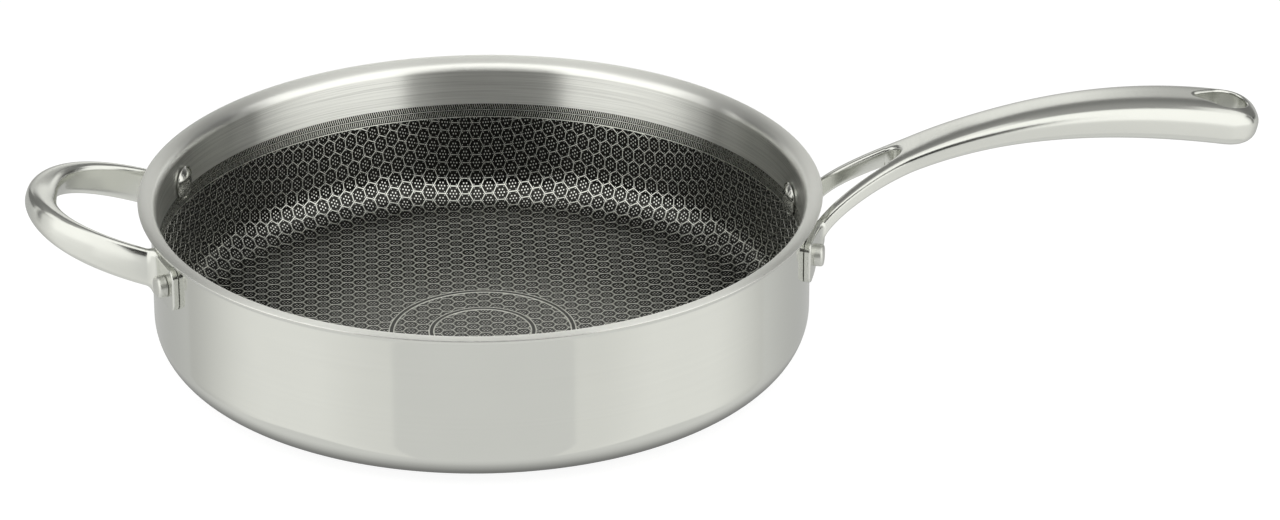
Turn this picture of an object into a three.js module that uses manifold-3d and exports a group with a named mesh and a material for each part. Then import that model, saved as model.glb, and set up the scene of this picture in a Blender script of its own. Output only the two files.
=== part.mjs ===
// Deep straight-sided pan: a clad body with a rolled rim, a forked cast handle and a helper loop,
// each handle held by two rivets. Millimetres, +Z up. The origin is the centre of the underside,
// and +X runs along the long handle.
import * as THREE from 'three';
import { mergeVertices } from 'three/addons/utils/BufferGeometryUtils.js';
import Module from 'manifold-3d';

const { degToRad, lerp, smoothstep } = THREE.MathUtils;

// Clad body
const WALL_RADIUS = 140; // outside of the straight wall
const BODY_HEIGHT = 70; // underside to the top of the rolled rim
const CORNER_RADIUS = 18; // outside, between floor and wall
const OUTER_STEEL = 0.5;
const CORE_THICKNESS = 1.6;
const INNER_STEEL = 0.5;
const BOND_LINE = 0.02; // between bonded layers
const RIM_BEND_RADIUS = 2.9; // underside of the rolled rim
const RIM_TURN = degToRad(115); // how far the rim rolls, from upright over the top
const HEM_TURN = degToRad(20); // the outer steel closes over the core for this last stretch
const COATING_FILM = 0.1;
const BARE_BAND = 21; // bare steel between the coating and the rim's top

// Rivets
const SHANK_RADIUS = 3;
const SHANK_CLEARANCE = 0.3;
const SEAT_GAP = 0.3; // between a handle's foot and the wall, and under a rivet's heads
const INNER_HEAD_RADIUS = 7.4;
const INNER_HEAD_RISE = 3;
const OUTER_HEAD_RADIUS = 4.6;
const OUTER_HEAD_RISE = 3.4;
const OUTER_HEAD_ROUNDING = 0.9;

// Feet, the plates by which both handles sit on the wall
const FOOT_THICKNESS = 2.8;
const FOOT_CORNER_RADIUS = 4;

// Long handle
const LONG_RIVET_OFFSET = 29.2; // rivet axis from the handle's middle plane, at the wall
const LONG_RIVET_DROP = 21; // rivet axis below the rim's top
const LONG_FOOT_HEIGHT = 18.4;
const LONG_FOOT_END = 11.2; // rivet axis to the free end of the foot
const HANDLE_REACH = 190.6; // wall to tip
const HANDLE_TIP_RISE = 22.9; // tip above the rim's top
const ROOT_STANDOFF = 2; // centre line of the prongs outside the wall, where they start
const ROOT_RISE = 3.1; // start of the centre line above the rivet axis
const ROOT_LEAD = 12.2; // straight-up lead of the centre line at the root
const TIP_LEAD_BACK = 112.3; // lead of the centre line at the tip, back towards the pan
const TIP_LEAD_UP = 23.1;
const ROOT_FADE = 7; // the prongs thin out into their feet over this length
const PRONG_SPREAD = 45.4; // across both prongs at the wall
const PRONG_FLARE = 1.45; // how sharply the prongs open out, as a power
const PRONG_THICKNESS = 6;
const PRONG_DEPTH = 6.9;
const PRONG_SQUARENESS = 5; // power of the rounded section at the prongs
const SLOT_REACH = 38.5; // wall to the round end of the slot
const WAIST_REACH = 43; // wall to the narrowest place
const WAIST_WIDTH = 22.8;
const GRIP_REACH = 172; // wall to where the grip is fullest
const GRIP_WIDTH = 30.2;
const GRIP_DEPTH = 18.6;
const GRIP_SQUARENESS = 3;
const ROUND_REACH = 84; // wall to where the section has become as round as the grip
const GRIP_END_LENGTH = 16; // rounded end of the grip
const GRIP_END_ROUNDNESS = 2.4;
const HOLE_RADIUS = 8.6; // round end of the hanging hole
const HOLE_POINT_RADIUS = 2.4; // narrow end of the hanging hole
const HOLE_LENGTH = 22.8;
const HOLE_LAND = 4.9; // steel between the hole and the tip

// Helper handle
const HELPER_RIVET_OFFSET = 52.4;
const HELPER_RIVET_DROP = 16.9;
const HELPER_FOOT_HEIGHT = 18.6;
const HELPER_FOOT_END = 8.6;
const HELPER_REACH = 52; // wall to the outside of the loop
const HELPER_SPREAD = 79.4; // across the middles of both legs at the wall
const HELPER_TILT = degToRad(17.9);
const HELPER_ROOT_RISE = 0.6; // middle of the legs above the rivet axis, at the wall
const HELPER_END_POWER = 2.5; // roundness of the loop's plan
const HELPER_SIDE_POWER = 2.23;
const LEG_THICKNESS = 5;
const LEG_HEIGHT = 16;
const BAR_WIDTH = 13.1;
const BAR_HEIGHT = 10.4;
const BAR_BLEND = 0.8; // how soon the legs thicken towards the bar, as a power
const HELPER_SQUARENESS = 2.8;

// Fineness of the round surfaces
const BODY_SIDES = 48;
const FOOT_SIDES = 180;
const ARC_STEPS = 5;
const RIM_STEPS = 4;
const HEM_STEPS = 1;
const SECTION_POINTS = 20;
const HANDLE_RINGS = 11;
const HANDLE_RING_CROWDING = 1.5; // rings lie closer towards the prongs, as a power
const GRIP_END_RINGS = 5;
const SLOT_STEPS = 8;
const HELPER_RINGS = 22;
const RIVET_SIDES = 16;
const RIVET_ARC_STEPS = 3;

// Derived places
const CLAD_THICKNESS = OUTER_STEEL + CORE_THICKNESS + INNER_STEEL;
const CORE_TURN = RIM_TURN - HEM_TURN;
const RIM_START = BODY_HEIGHT - RIM_BEND_RADIUS - CLAD_THICKNESS;
const COATING_TOP = BODY_HEIGHT - BARE_BAND;
const FOOT_INSIDE = WALL_RADIUS + SEAT_GAP;
const FOOT_OUTSIDE = FOOT_INSIDE + FOOT_THICKNESS;
const LONG_RIVET_HEIGHT = BODY_HEIGHT - LONG_RIVET_DROP;
const HELPER_RIVET_HEIGHT = BODY_HEIGHT - HELPER_RIVET_DROP;
const LONG_RIVET_ANGLE = Math.asin(LONG_RIVET_OFFSET / WALL_RADIUS);
const HELPER_RIVET_ANGLE = Math.PI - Math.asin(HELPER_RIVET_OFFSET / WALL_RADIUS);
const TIP_X = WALL_RADIUS + HANDLE_REACH;
const SUNK_LENGTH = 2 * FOOT_THICKNESS; // slot and legs are drawn this far into the wall, then fitted to it

const RIVETS = [
  { name: 'long_handle_rivet_front', angle: -LONG_RIVET_ANGLE, height: LONG_RIVET_HEIGHT },
  { name: 'long_handle_rivet_back', angle: LONG_RIVET_ANGLE, height: LONG_RIVET_HEIGHT },
  { name: 'helper_handle_rivet_front', angle: -HELPER_RIVET_ANGLE, height: HELPER_RIVET_HEIGHT },
  { name: 'helper_handle_rivet_back', angle: HELPER_RIVET_ANGLE, height: HELPER_RIVET_HEIGHT },
];

const wasm = await Module();
wasm.setup();

// A closed geometry as a solid that can be joined and cut.
function solidOf(geometry) {
  const bare = geometry.clone();
  bare.deleteAttribute('normal');
  bare.deleteAttribute('uv');
  const merged = mergeVertices(bare);
  const vertProperties = merged.attributes.position.array;
  const triVerts = Uint32Array.from(merged.index.array);
  return new wasm.Manifold(new wasm.Mesh({ numProp: 3, vertProperties, triVerts }));
}

// The surface of a solid.
function geometryOf(solid) {
  const { vertProperties, triVerts } = solid.getMesh();
  const geometry = new THREE.BufferGeometry();
  geometry.setAttribute('position', new THREE.BufferAttribute(vertProperties, 3));
  geometry.setIndex(new THREE.BufferAttribute(triVerts, 1));
  return geometry;
}

// A profile of [radius, height] points turned about the Z axis.
function turned(profile, sides) {
  const points = profile.map(([radius, height]) => new THREE.Vector2(radius, height));
  return new THREE.LatheGeometry(points, sides).rotateX(Math.PI / 2);
}

// An upright prism of a plan outline, from one height to another.
function upright(outline, bottom, top) {
  const options = { depth: top - bottom, bevelEnabled: false, curveSegments: ARC_STEPS * 2 };
  return new THREE.ExtrudeGeometry(outline, options).translate(0, 0, bottom);
}

// Points of a circular arc about a centre, from one angle to another.
function arc(centreX, centreY, radius, from, to, steps = ARC_STEPS) {
  return Array.from({ length: steps + 1 }, (_, step) => {
    const angle = lerp(from, to, step / steps);
    return [centreX + radius * Math.cos(angle), centreY + radius * Math.sin(angle)];
  });
}

// Floor and corner of the clad body, at a depth below the outside, from the axis to the upright wall.
function floorCurve(depth) {
  const centre = WALL_RADIUS - CORNER_RADIUS;
  return [[0, depth], ...arc(centre, CORNER_RADIUS, CORNER_RADIUS - depth, -Math.PI / 2, 0)];
}

// Rolled rim at a depth below the outside, from upright to the core's edge.
function rimCurve(depth, end = CORE_TURN) {
  const centre = WALL_RADIUS + RIM_BEND_RADIUS;
  return arc(centre, RIM_START, RIM_BEND_RADIUS + depth, Math.PI, Math.PI - end, RIM_STEPS);
}

// Last stretch of the rim at a depth below the outside, from the core's edge to the cut edge.
function hemCurve(depth) {
  const centre = WALL_RADIUS + RIM_BEND_RADIUS;
  return arc(centre, RIM_START, RIM_BEND_RADIUS + depth, Math.PI - CORE_TURN, Math.PI - RIM_TURN, HEM_STEPS);
}

// A radial bore through wall and feet for a rivet's shank.
function shankBore({ angle, height }) {
  const radius = SHANK_RADIUS + SHANK_CLEARANCE;
  const bore = new THREE.CylinderGeometry(radius, radius, WALL_RADIUS, RIVET_SIDES);
  bore.rotateZ(Math.PI / 2).translate(WALL_RADIUS, 0, 0);
  return solidOf(bore.rotateZ(angle).translate(0, 0, height));
}

// A layer of the body, bored for the four rivets.
function boredLayer(profile) {
  const layer = solidOf(turned(profile, BODY_SIDES));
  const bored = RIVETS.reduce((solid, rivet) => solid.subtract(shankBore(rivet)), layer);
  return geometryOf(bored);
}

// Outer steel, hooked over the core's edge at the rim.
function outerShell() {
  return boredLayer([
    ...floorCurve(0),
    ...rimCurve(0),
    ...hemCurve(0).slice(1),
    ...hemCurve(OUTER_STEEL + CORE_THICKNESS).reverse(),
    ...rimCurve(OUTER_STEEL).reverse(),
    ...floorCurve(OUTER_STEEL).reverse(),
  ]);
}

// Aluminium core, closed in between the two steels.
function aluminiumCore() {
  const outside = OUTER_STEEL + BOND_LINE;
  const inside = OUTER_STEEL + CORE_THICKNESS - BOND_LINE;
  const end = CORE_TURN - BOND_LINE / RIM_BEND_RADIUS;
  return boredLayer([
    ...floorCurve(outside),
    ...rimCurve(outside, end),
    ...rimCurve(inside, end).reverse(),
    ...floorCurve(inside).reverse(),
  ]);
}

// Inner steel, from the floor over the rim to its edge.
function innerLiner() {
  const outside = OUTER_STEEL + CORE_THICKNESS + BOND_LINE;
  return boredLayer([
    ...floorCurve(outside),
    ...rimCurve(outside),
    ...hemCurve(outside).slice(1),
    ...hemCurve(CLAD_THICKNESS).reverse(),
    ...rimCurve(CLAD_THICKNESS).reverse().slice(1),
    ...floorCurve(CLAD_THICKNESS).reverse(),
  ]);
}

// Thin dark film on the floor, the corner and the lower wall.
function nonstickCoating() {
  const outside = CLAD_THICKNESS + BOND_LINE;
  const inside = outside + COATING_FILM;
  return boredLayer([
    ...floorCurve(outside),
    [WALL_RADIUS - outside, COATING_TOP],
    [WALL_RADIUS - inside, COATING_TOP],
    ...floorCurve(inside).reverse(),
  ]);
}

// A rivet: low domed head inside, shank, and an upset head outside with a rounded edge.
function rivet() {
  const innerSeat = WALL_RADIUS - CLAD_THICKNESS - BOND_LINE - COATING_FILM;
  const facetSag = innerSeat * (1 - Math.cos(Math.PI / BODY_SIDES));
  const underInnerHead = Math.sqrt(innerSeat ** 2 - INNER_HEAD_RADIUS ** 2) - facetSag - SEAT_GAP;
  const underOuterHead = FOOT_OUTSIDE + SEAT_GAP;
  const outerHeadTop = underOuterHead + OUTER_HEAD_RISE;
  const domeRadius = (INNER_HEAD_RADIUS ** 2 + INNER_HEAD_RISE ** 2) / (2 * INNER_HEAD_RISE);
  const domeCentre = underInnerHead - INNER_HEAD_RISE + domeRadius;
  const domeReach = Math.asin(INNER_HEAD_RADIUS / domeRadius);
  const dome = arc(0, domeCentre, domeRadius, -Math.PI / 2, -Math.PI / 2 + domeReach, RIVET_ARC_STEPS);
  const profile = [
    [0, underInnerHead - INNER_HEAD_RISE],
    ...dome.slice(1),
    [SHANK_RADIUS, underInnerHead],
    [SHANK_RADIUS, underOuterHead],
    [OUTER_HEAD_RADIUS, underOuterHead],
    ...arc(
      OUTER_HEAD_RADIUS - OUTER_HEAD_ROUNDING,
      outerHeadTop - OUTER_HEAD_ROUNDING,
      OUTER_HEAD_ROUNDING,
      0,
      Math.PI / 2,
      RIVET_ARC_STEPS,
    ),
    [0, outerHeadTop],
  ];
  return turned(profile, RIVET_SIDES).rotateY(Math.PI / 2);
}

// A closed outline through corners, each rounded by the same radius.
function roundedOutline(corners, radius) {
  const outline = new THREE.Shape();
  corners.forEach((corner, index) => {
    const before = corners.at(index - 1);
    const after = corners[(index + 1) % corners.length];
    const start = corner.clone().add(before.clone().sub(corner).setLength(radius));
    const end = corner.clone().add(after.clone().sub(corner).setLength(radius));
    if (index === 0) {
      outline.moveTo(start.x, start.y);
    } else {
      outline.lineTo(start.x, start.y);
    }
    outline.quadraticCurveTo(corner.x, corner.y, end.x, end.y);
  });
  outline.closePath();
  return outline;
}

// A foot: a plate bent to the wall, from beside a prong or leg to beyond the rivet.
// inboard and outboard are measured along the wall from the rivet axis, away from the middle plane.
function foot({ angle, height }, inboard, outboard, tall) {
  const side = Math.sign(Math.sin(angle)) * Math.sign(Math.cos(angle));
  const corners = [
    [-inboard, -tall / 2],
    [outboard, -tall / 2],
    [outboard, tall / 2],
    [-inboard, tall / 2],
  ].map(([along, up]) => new THREE.Vector2(side * along, up));
  const outline = roundedOutline(corners, FOOT_CORNER_RADIUS);
  const options = { depth: WALL_RADIUS, bevelEnabled: false, curveSegments: ARC_STEPS };
  const toWall = new THREE.Matrix4().makeBasis(
    new THREE.Vector3(0, 1, 0),
    new THREE.Vector3(0, 0, 1),
    new THREE.Vector3(1, 0, 0),
  );
  const block = new THREE.ExtrudeGeometry(outline, options).applyMatrix4(toWall);
  block.translate(WALL_RADIUS / 2, 0, 0).rotateZ(angle).translate(0, 0, height);
  const ring = [
    [FOOT_INSIDE, 0],
    [FOOT_OUTSIDE, 0],
    [FOOT_OUTSIDE, BODY_HEIGHT],
    [FOOT_INSIDE, BODY_HEIGHT],
    [FOOT_INSIDE, 0],
  ];
  return solidOf(block).intersect(solidOf(turned(ring, FOOT_SIDES)));
}

// The mean of a ring's points.
function middleOf(ring) {
  const sum = ring.reduce((total, point) => total.add(point), new THREE.Vector3());
  return sum.divideScalar(ring.length);
}

// A surface through rings of points, closed by fans at both ends.
function lofted(rings, end = middleOf(rings.at(-1))) {
  const count = rings[0].length;
  const points = [...rings.flat(), middleOf(rings[0]), end];
  const startPoint = points.length - 2;
  const endPoint = points.length - 1;
  const lastRing = (rings.length - 1) * count;
  const faces = [];
  for (let here = 0; here < count; here += 1) {
    const next = (here + 1) % count;
    faces.push(startPoint, next, here);
    faces.push(endPoint, lastRing + here, lastRing + next);
    for (let ring = 0; ring < lastRing; ring += count) {
      faces.push(ring + here, ring + next, ring + count + next);
      faces.push(ring + here, ring + count + next, ring + count + here);
    }
  }
  const geometry = new THREE.BufferGeometry().setFromPoints(points);
  geometry.setIndex(faces);
  return geometry;
}

// A rounded section about a centre: an ellipse squared off by a power.
function section(centre, across, up, width, height, squareness) {
  const squaredOff = (value) => Math.sign(value) * Math.abs(value) ** (2 / squareness);
  return Array.from({ length: SECTION_POINTS }, (_, step) => {
    const angle = (2 * Math.PI * step) / SECTION_POINTS;
    return centre
      .clone()
      .addScaledVector(across, (width / 2) * squaredOff(Math.cos(angle)))
      .addScaledVector(up, (height / 2) * squaredOff(Math.sin(angle)));
  });
}

// Width across the long handle at a reach from the wall: prongs, waist, then the full grip.
function handleWidth(reach) {
  const opening = Math.max(0, 1 - Math.max(0, reach) / WAIST_REACH) ** PRONG_FLARE;
  const body = lerp(WAIST_WIDTH, GRIP_WIDTH, smoothstep(reach, WAIST_REACH, GRIP_REACH));
  return body + (PRONG_SPREAD - WAIST_WIDTH) * opening;
}

// Centre line of the long handle, in the middle plane.
function handleCentreLine() {
  const rootX = WALL_RADIUS + ROOT_STANDOFF;
  const rootZ = LONG_RIVET_HEIGHT + ROOT_RISE;
  const tipZ = BODY_HEIGHT + HANDLE_TIP_RISE;
  return new THREE.CubicBezierCurve3(
    new THREE.Vector3(rootX, 0, rootZ),
    new THREE.Vector3(rootX, 0, rootZ + ROOT_LEAD),
    new THREE.Vector3(TIP_X - TIP_LEAD_BACK, 0, tipZ + TIP_LEAD_UP),
    new THREE.Vector3(TIP_X, 0, tipZ),
  );
}

// Rings of the long handle from the feet to the rounded end.
function handleRings(line) {
  const across = new THREE.Vector3(0, 1, 0);
  const endStart = 1 - GRIP_END_LENGTH / line.getLength();
  const alongProngsAndGrip = (ring) => endStart * (ring / HANDLE_RINGS) ** HANDLE_RING_CROWDING;
  const alongEnd = (ring) => lerp(endStart, 1, Math.sin((Math.PI / 2) * (ring / GRIP_END_RINGS)));
  const shares = [
    ...Array.from({ length: HANDLE_RINGS }, (_, ring) => alongProngsAndGrip(ring)),
    ...Array.from({ length: GRIP_END_RINGS }, (_, ring) => alongEnd(ring)),
  ];
  const rings = shares.map((share) => {
    const centre = line.getPointAt(share);
    const tangent = line.getTangentAt(share);
    const up = new THREE.Vector3(-tangent.z, 0, tangent.x);
    const reach = centre.x - WALL_RADIUS;
    const towardsEnd = Math.max(0, (share - endStart) / (1 - endStart));
    const rounding = (1 - towardsEnd ** GRIP_END_ROUNDNESS) ** (1 / GRIP_END_ROUNDNESS);
    const depth = lerp(PRONG_DEPTH, GRIP_DEPTH, smoothstep(reach, 0, GRIP_REACH));
    const squareness = lerp(PRONG_SQUARENESS, GRIP_SQUARENESS, smoothstep(reach, 0, ROUND_REACH));
    return section(centre, across, up, handleWidth(reach) * rounding, depth * rounding, squareness);
  });
  const root = line.getPointAt(0);
  const faded = new THREE.Vector3(WALL_RADIUS, 0, root.z - ROOT_FADE);
  const towardsPan = new THREE.Vector3(-1, 0, 0);
  const fadedDepth = 2 * (FOOT_OUTSIDE - WALL_RADIUS) - SEAT_GAP;
  const fadedWidth = handleWidth(root.x - WALL_RADIUS);
  return [section(faded, across, towardsPan, fadedWidth, fadedDepth, PRONG_SQUARENESS), ...rings];
}

// Plan of the slot between the prongs: each side keeps the prong's thickness, and the end is round.
function slotOutline() {
  const halfGap = (reach) => handleWidth(reach) / 2 - PRONG_THICKNESS;
  const endRadius = halfGap(SLOT_REACH);
  const start = -SUNK_LENGTH;
  const end = SLOT_REACH - endRadius;
  const reaches = Array.from({ length: SLOT_STEPS + 1 }, (_, step) => lerp(start, end, step / SLOT_STEPS));
  const side = reaches.map((reach) => new THREE.Vector2(WALL_RADIUS + reach, -halfGap(reach)));
  const outline = new THREE.Shape(side);
  outline.absarc(WALL_RADIUS + end, 0, endRadius, -Math.PI / 2, Math.PI / 2);
  side.reverse().forEach(({ x, y }) => outline.lineTo(x, -y));
  return outline;
}

// Plan of the hanging hole: round towards the tip, drawn to a narrow end towards the pan.
function hangingHoleOutline() {
  const roundCentre = TIP_X - HOLE_LAND - HOLE_RADIUS;
  const pointCentre = TIP_X - HOLE_LAND - HOLE_LENGTH + HOLE_POINT_RADIUS;
  const tangency = Math.acos((HOLE_POINT_RADIUS - HOLE_RADIUS) / (roundCentre - pointCentre));
  const outline = new THREE.Shape();
  outline.absarc(roundCentre, 0, HOLE_RADIUS, -tangency, tangency);
  outline.absarc(pointCentre, 0, HOLE_POINT_RADIUS, tangency, 2 * Math.PI - tangency);
  return outline;
}

// Feet on both sides of a handle, joined to its body, fitted round the wall and bored for the rivets.
function onFeet(body, rivets, inboard, outboard, tall) {
  const wallAndGap = [
    [0, 0],
    [FOOT_INSIDE, 0],
    [FOOT_INSIDE, BODY_HEIGHT],
    [0, BODY_HEIGHT],
  ];
  const joined = rivets.reduce((solid, each) => solid.add(foot(each, inboard, outboard, tall)), body);
  const fitted = joined.subtract(solidOf(turned(wallAndGap, FOOT_SIDES)));
  return rivets.reduce((solid, each) => solid.subtract(shankBore(each)), fitted);
}

// Cast long handle: lofted grip, forked by the slot, with the hanging hole and two feet.
function longHandle() {
  const line = handleCentreLine();
  const aboveHandle = BODY_HEIGHT + HANDLE_TIP_RISE + TIP_LEAD_UP + GRIP_DEPTH;
  const body = solidOf(lofted(handleRings(line), line.getPointAt(1)))
    .subtract(solidOf(upright(slotOutline(), 0, aboveHandle)))
    .subtract(solidOf(upright(hangingHoleOutline(), 0, aboveHandle)));
  const inboard = LONG_RIVET_OFFSET - PRONG_SPREAD / 2 + PRONG_THICKNESS;
  return geometryOf(onFeet(body, RIVETS.slice(0, 2), inboard, LONG_FOOT_END, LONG_FOOT_HEIGHT));
}

// Rings of the helper loop, from one wall root round the bar to the other.
function helperRings() {
  const outward = new THREE.Vector3(-Math.cos(HELPER_TILT), 0, Math.sin(HELPER_TILT));
  const sideways = new THREE.Vector3(0, 1, 0);
  const up = new THREE.Vector3(Math.sin(HELPER_TILT), 0, Math.cos(HELPER_TILT));
  const rootDistance = Math.sqrt(WALL_RADIUS ** 2 - (HELPER_SPREAD / 2) ** 2);
  const rootZ = HELPER_RIVET_HEIGHT + HELPER_ROOT_RISE;
  const root = new THREE.Vector3(-rootDistance, 0, rootZ);
  const depth = (WALL_RADIUS + HELPER_REACH - rootDistance) / Math.cos(HELPER_TILT) - BAR_WIDTH / 2;
  const place = (turn) => {
    const along = Math.max(0, Math.cos(turn)) ** (2 / HELPER_END_POWER);
    const aside = Math.sign(turn) * Math.abs(Math.sin(turn)) ** (2 / HELPER_SIDE_POWER);
    return { along: depth * along, aside: (HELPER_SPREAD / 2) * aside, share: Math.abs(aside) };
  };
  const turnAt = (ring) => lerp(Math.PI / 2, -Math.PI / 2, ring / HELPER_RINGS);
  const places = Array.from({ length: HELPER_RINGS + 1 }, (_, ring) => place(turnAt(ring)));
  const sunk = { along: -SUNK_LENGTH, share: 1 };
  places.unshift({ ...sunk, aside: HELPER_SPREAD / 2 });
  places.push({ ...sunk, aside: -HELPER_SPREAD / 2 });
  const centres = places.map(({ along, aside }) =>
    root.clone().addScaledVector(outward, along).addScaledVector(sideways, aside),
  );
  return centres.map((centre, index) => {
    const before = centres[Math.max(0, index - 1)];
    const after = centres[Math.min(centres.length - 1, index + 1)];
    const tangent = after.clone().sub(before).normalize();
    const across = up.clone().cross(tangent);
    const towardsBar = (1 - places[index].share) ** BAR_BLEND;
    const width = lerp(LEG_THICKNESS, BAR_WIDTH, towardsBar);
    const height = lerp(LEG_HEIGHT, BAR_HEIGHT, towardsBar);
    return section(centre, across, up, width, height, HELPER_SQUARENESS);
  });
}

// Cast helper loop with two feet.
function helperHandle() {
  const body = solidOf(lofted(helperRings()));
  const inboard = HELPER_RIVET_OFFSET - HELPER_SPREAD / 2 + LEG_THICKNESS;
  return geometryOf(onFeet(body, RIVETS.slice(2), inboard, HELPER_FOOT_END, HELPER_FOOT_HEIGHT));
}

// Finishes
const polishedSteel = { color: 0xd2d2cd, roughness: 0.1, metalness: 1 };
const brushedSteel = { color: 0xb4b4ae, roughness: 0.32, metalness: 1 };
const castSteel = { color: 0xd6d6d0, roughness: 0.14, metalness: 1 };
const rawAluminium = { color: 0xc4c7c9, roughness: 0.45, metalness: 1 };
const darkCoating = { color: 0x262723, roughness: 0.5, metalness: 0.1 };

// One named sub-part with its own finish.
function part(name, geometry, finish) {
  const mesh = new THREE.Mesh(geometry, new THREE.MeshStandardMaterial(finish));
  mesh.name = name;
  return mesh;
}

const pan = new THREE.Group();
pan.add(part('outer_shell', outerShell(), polishedSteel));
pan.add(part('aluminium_core', aluminiumCore(), rawAluminium));
pan.add(part('inner_liner', innerLiner(), brushedSteel));
pan.add(part('nonstick_coating', nonstickCoating(), darkCoating));
pan.add(part('long_handle', longHandle(), castSteel));
pan.add(part('helper_handle', helperHandle(), castSteel));
for (const { name, angle, height } of RIVETS) {
  const placed = part(name, rivet(), polishedSteel);
  placed.rotation.z = angle;
  placed.position.z = height;
  pan.add(placed);
}

export default pan;
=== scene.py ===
"""Looks of a deep clad pan with a forked long handle and a helper loop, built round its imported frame."""
import logging
import math
from collections.abc import Callable, Sequence
from dataclasses import dataclass
from enum import Enum

import bpy
import numpy as np
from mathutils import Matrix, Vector


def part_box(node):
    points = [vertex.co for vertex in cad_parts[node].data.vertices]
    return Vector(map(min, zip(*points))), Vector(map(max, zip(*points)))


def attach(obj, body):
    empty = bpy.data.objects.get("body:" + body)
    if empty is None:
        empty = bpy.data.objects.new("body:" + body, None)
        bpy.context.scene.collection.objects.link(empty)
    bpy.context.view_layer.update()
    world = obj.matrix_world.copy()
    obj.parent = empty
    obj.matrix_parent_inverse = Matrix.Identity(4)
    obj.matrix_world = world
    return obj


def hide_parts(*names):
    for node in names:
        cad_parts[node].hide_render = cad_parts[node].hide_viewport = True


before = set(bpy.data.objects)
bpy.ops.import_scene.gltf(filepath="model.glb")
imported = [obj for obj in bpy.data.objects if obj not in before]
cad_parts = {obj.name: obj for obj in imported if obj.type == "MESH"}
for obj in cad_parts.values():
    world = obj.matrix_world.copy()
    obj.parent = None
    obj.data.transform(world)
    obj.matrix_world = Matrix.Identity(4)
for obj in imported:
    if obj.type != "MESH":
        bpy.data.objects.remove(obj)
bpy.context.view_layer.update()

MM = 0.001
ROOT_BODY = "root"
BLANK_MAP = "blank"
SHARP_ANGLE = math.radians(40)
HEXAGON_SIDES = 6
TINY = 1e-9
log = logging.getLogger("pan")
Array = np.ndarray
Place = tuple[Array, Array, Array]
Corners = Sequence[tuple[float, float, float]]
Faces = list[tuple[int, ...]]


class Side(Enum):
    """The two sides of the stage, as signs along X."""

    LEFT = -1
    RIGHT = 1


class Mixture(Enum):
    """What a mix node mixes: its data type, its two inputs and its output."""

    COLOURS = ("RGBA", 6, 7, 2)
    VECTORS = ("VECTOR", 4, 5, 1)


class Slot(Enum):
    """The record's material slots."""

    POLISHED_STEEL = "polished_steel"
    BRUSHED_STEEL = "brushed_steel"
    DARK_COATING = "dark_coating"
    CAST_STEEL = "cast_steel"
    RIVET_STEEL = "rivet_steel"


def lerp(start: "Number", end: "Number", share: "Number") -> "Number":
    """Returns the value at a share of the way from start to end, of numbers, arrays or shader values."""
    return start + (end - start) * share


def in_scene(name: str, data: bpy.types.ID) -> bpy.types.Object:
    """Makes an object of a mesh or a camera and puts it in the scene.

    Args:
        name: The object's name.
        data: What it shows.

    Returns:
        The object.
    """
    thing = bpy.data.objects.new(name, data)
    bpy.context.scene.collection.objects.link(thing)
    return thing


def smooth(value: Array, low: float, high: float) -> Array:
    """Returns a share that eases from 0 at low to 1 at high."""
    share = np.clip((value - low) / (high - low), 0, 1)
    return share * share * (3 - 2 * share)


def blended_min(first: Array, second: Array, fillet: float) -> Array:
    """Joins two distances with a rounded inner corner.

    Args:
        first: Signed distances to one form.
        second: Signed distances to the other form.
        fillet: Width over which the two run into each other.

    Returns:
        The signed distances to both forms together.
    """
    overlap = np.maximum(fillet - np.abs(first - second), 0) / fillet
    return np.minimum(first, second) - overlap * overlap * fillet / 4


def blended_max(first: Array, second: Array, rounding: float) -> Array:
    """Returns the distance to what two forms share, with a rounded outer edge."""
    return -blended_min(-first, -second, rounding)


def rounded_sum(first: Array, second: Array, power: Array | float) -> Array:
    """Returns the size of two parts together, round at power 2 and squarer above it."""
    return (np.abs(first) ** power + np.abs(second) ** power) ** (1 / power)


def rounded_prism(across: Array, along: Array, radius: float) -> Array:
    """Combines two distances of a prism into one with rounded edges.

    Args:
        across: Signed distance to the outline.
        along: Signed distance to the two end faces.
        radius: Radius of the edges between them.

    Returns:
        The signed distance to the prism.
    """
    first, second = across + radius, along + radius
    outside = np.hypot(np.maximum(first, 0), np.maximum(second, 0))
    return np.minimum(np.maximum(first, second), 0) + outside - radius


def arc(centre: tuple[float, float], radius: float, start: float, end: float, steps: int) -> Array:
    """Returns the points of a circular arc, from one angle to another."""
    angles = np.linspace(start, end, steps + 1)
    return np.stack([centre[0] + radius * np.cos(angles), centre[1] + radius * np.sin(angles)], axis=1)


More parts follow.
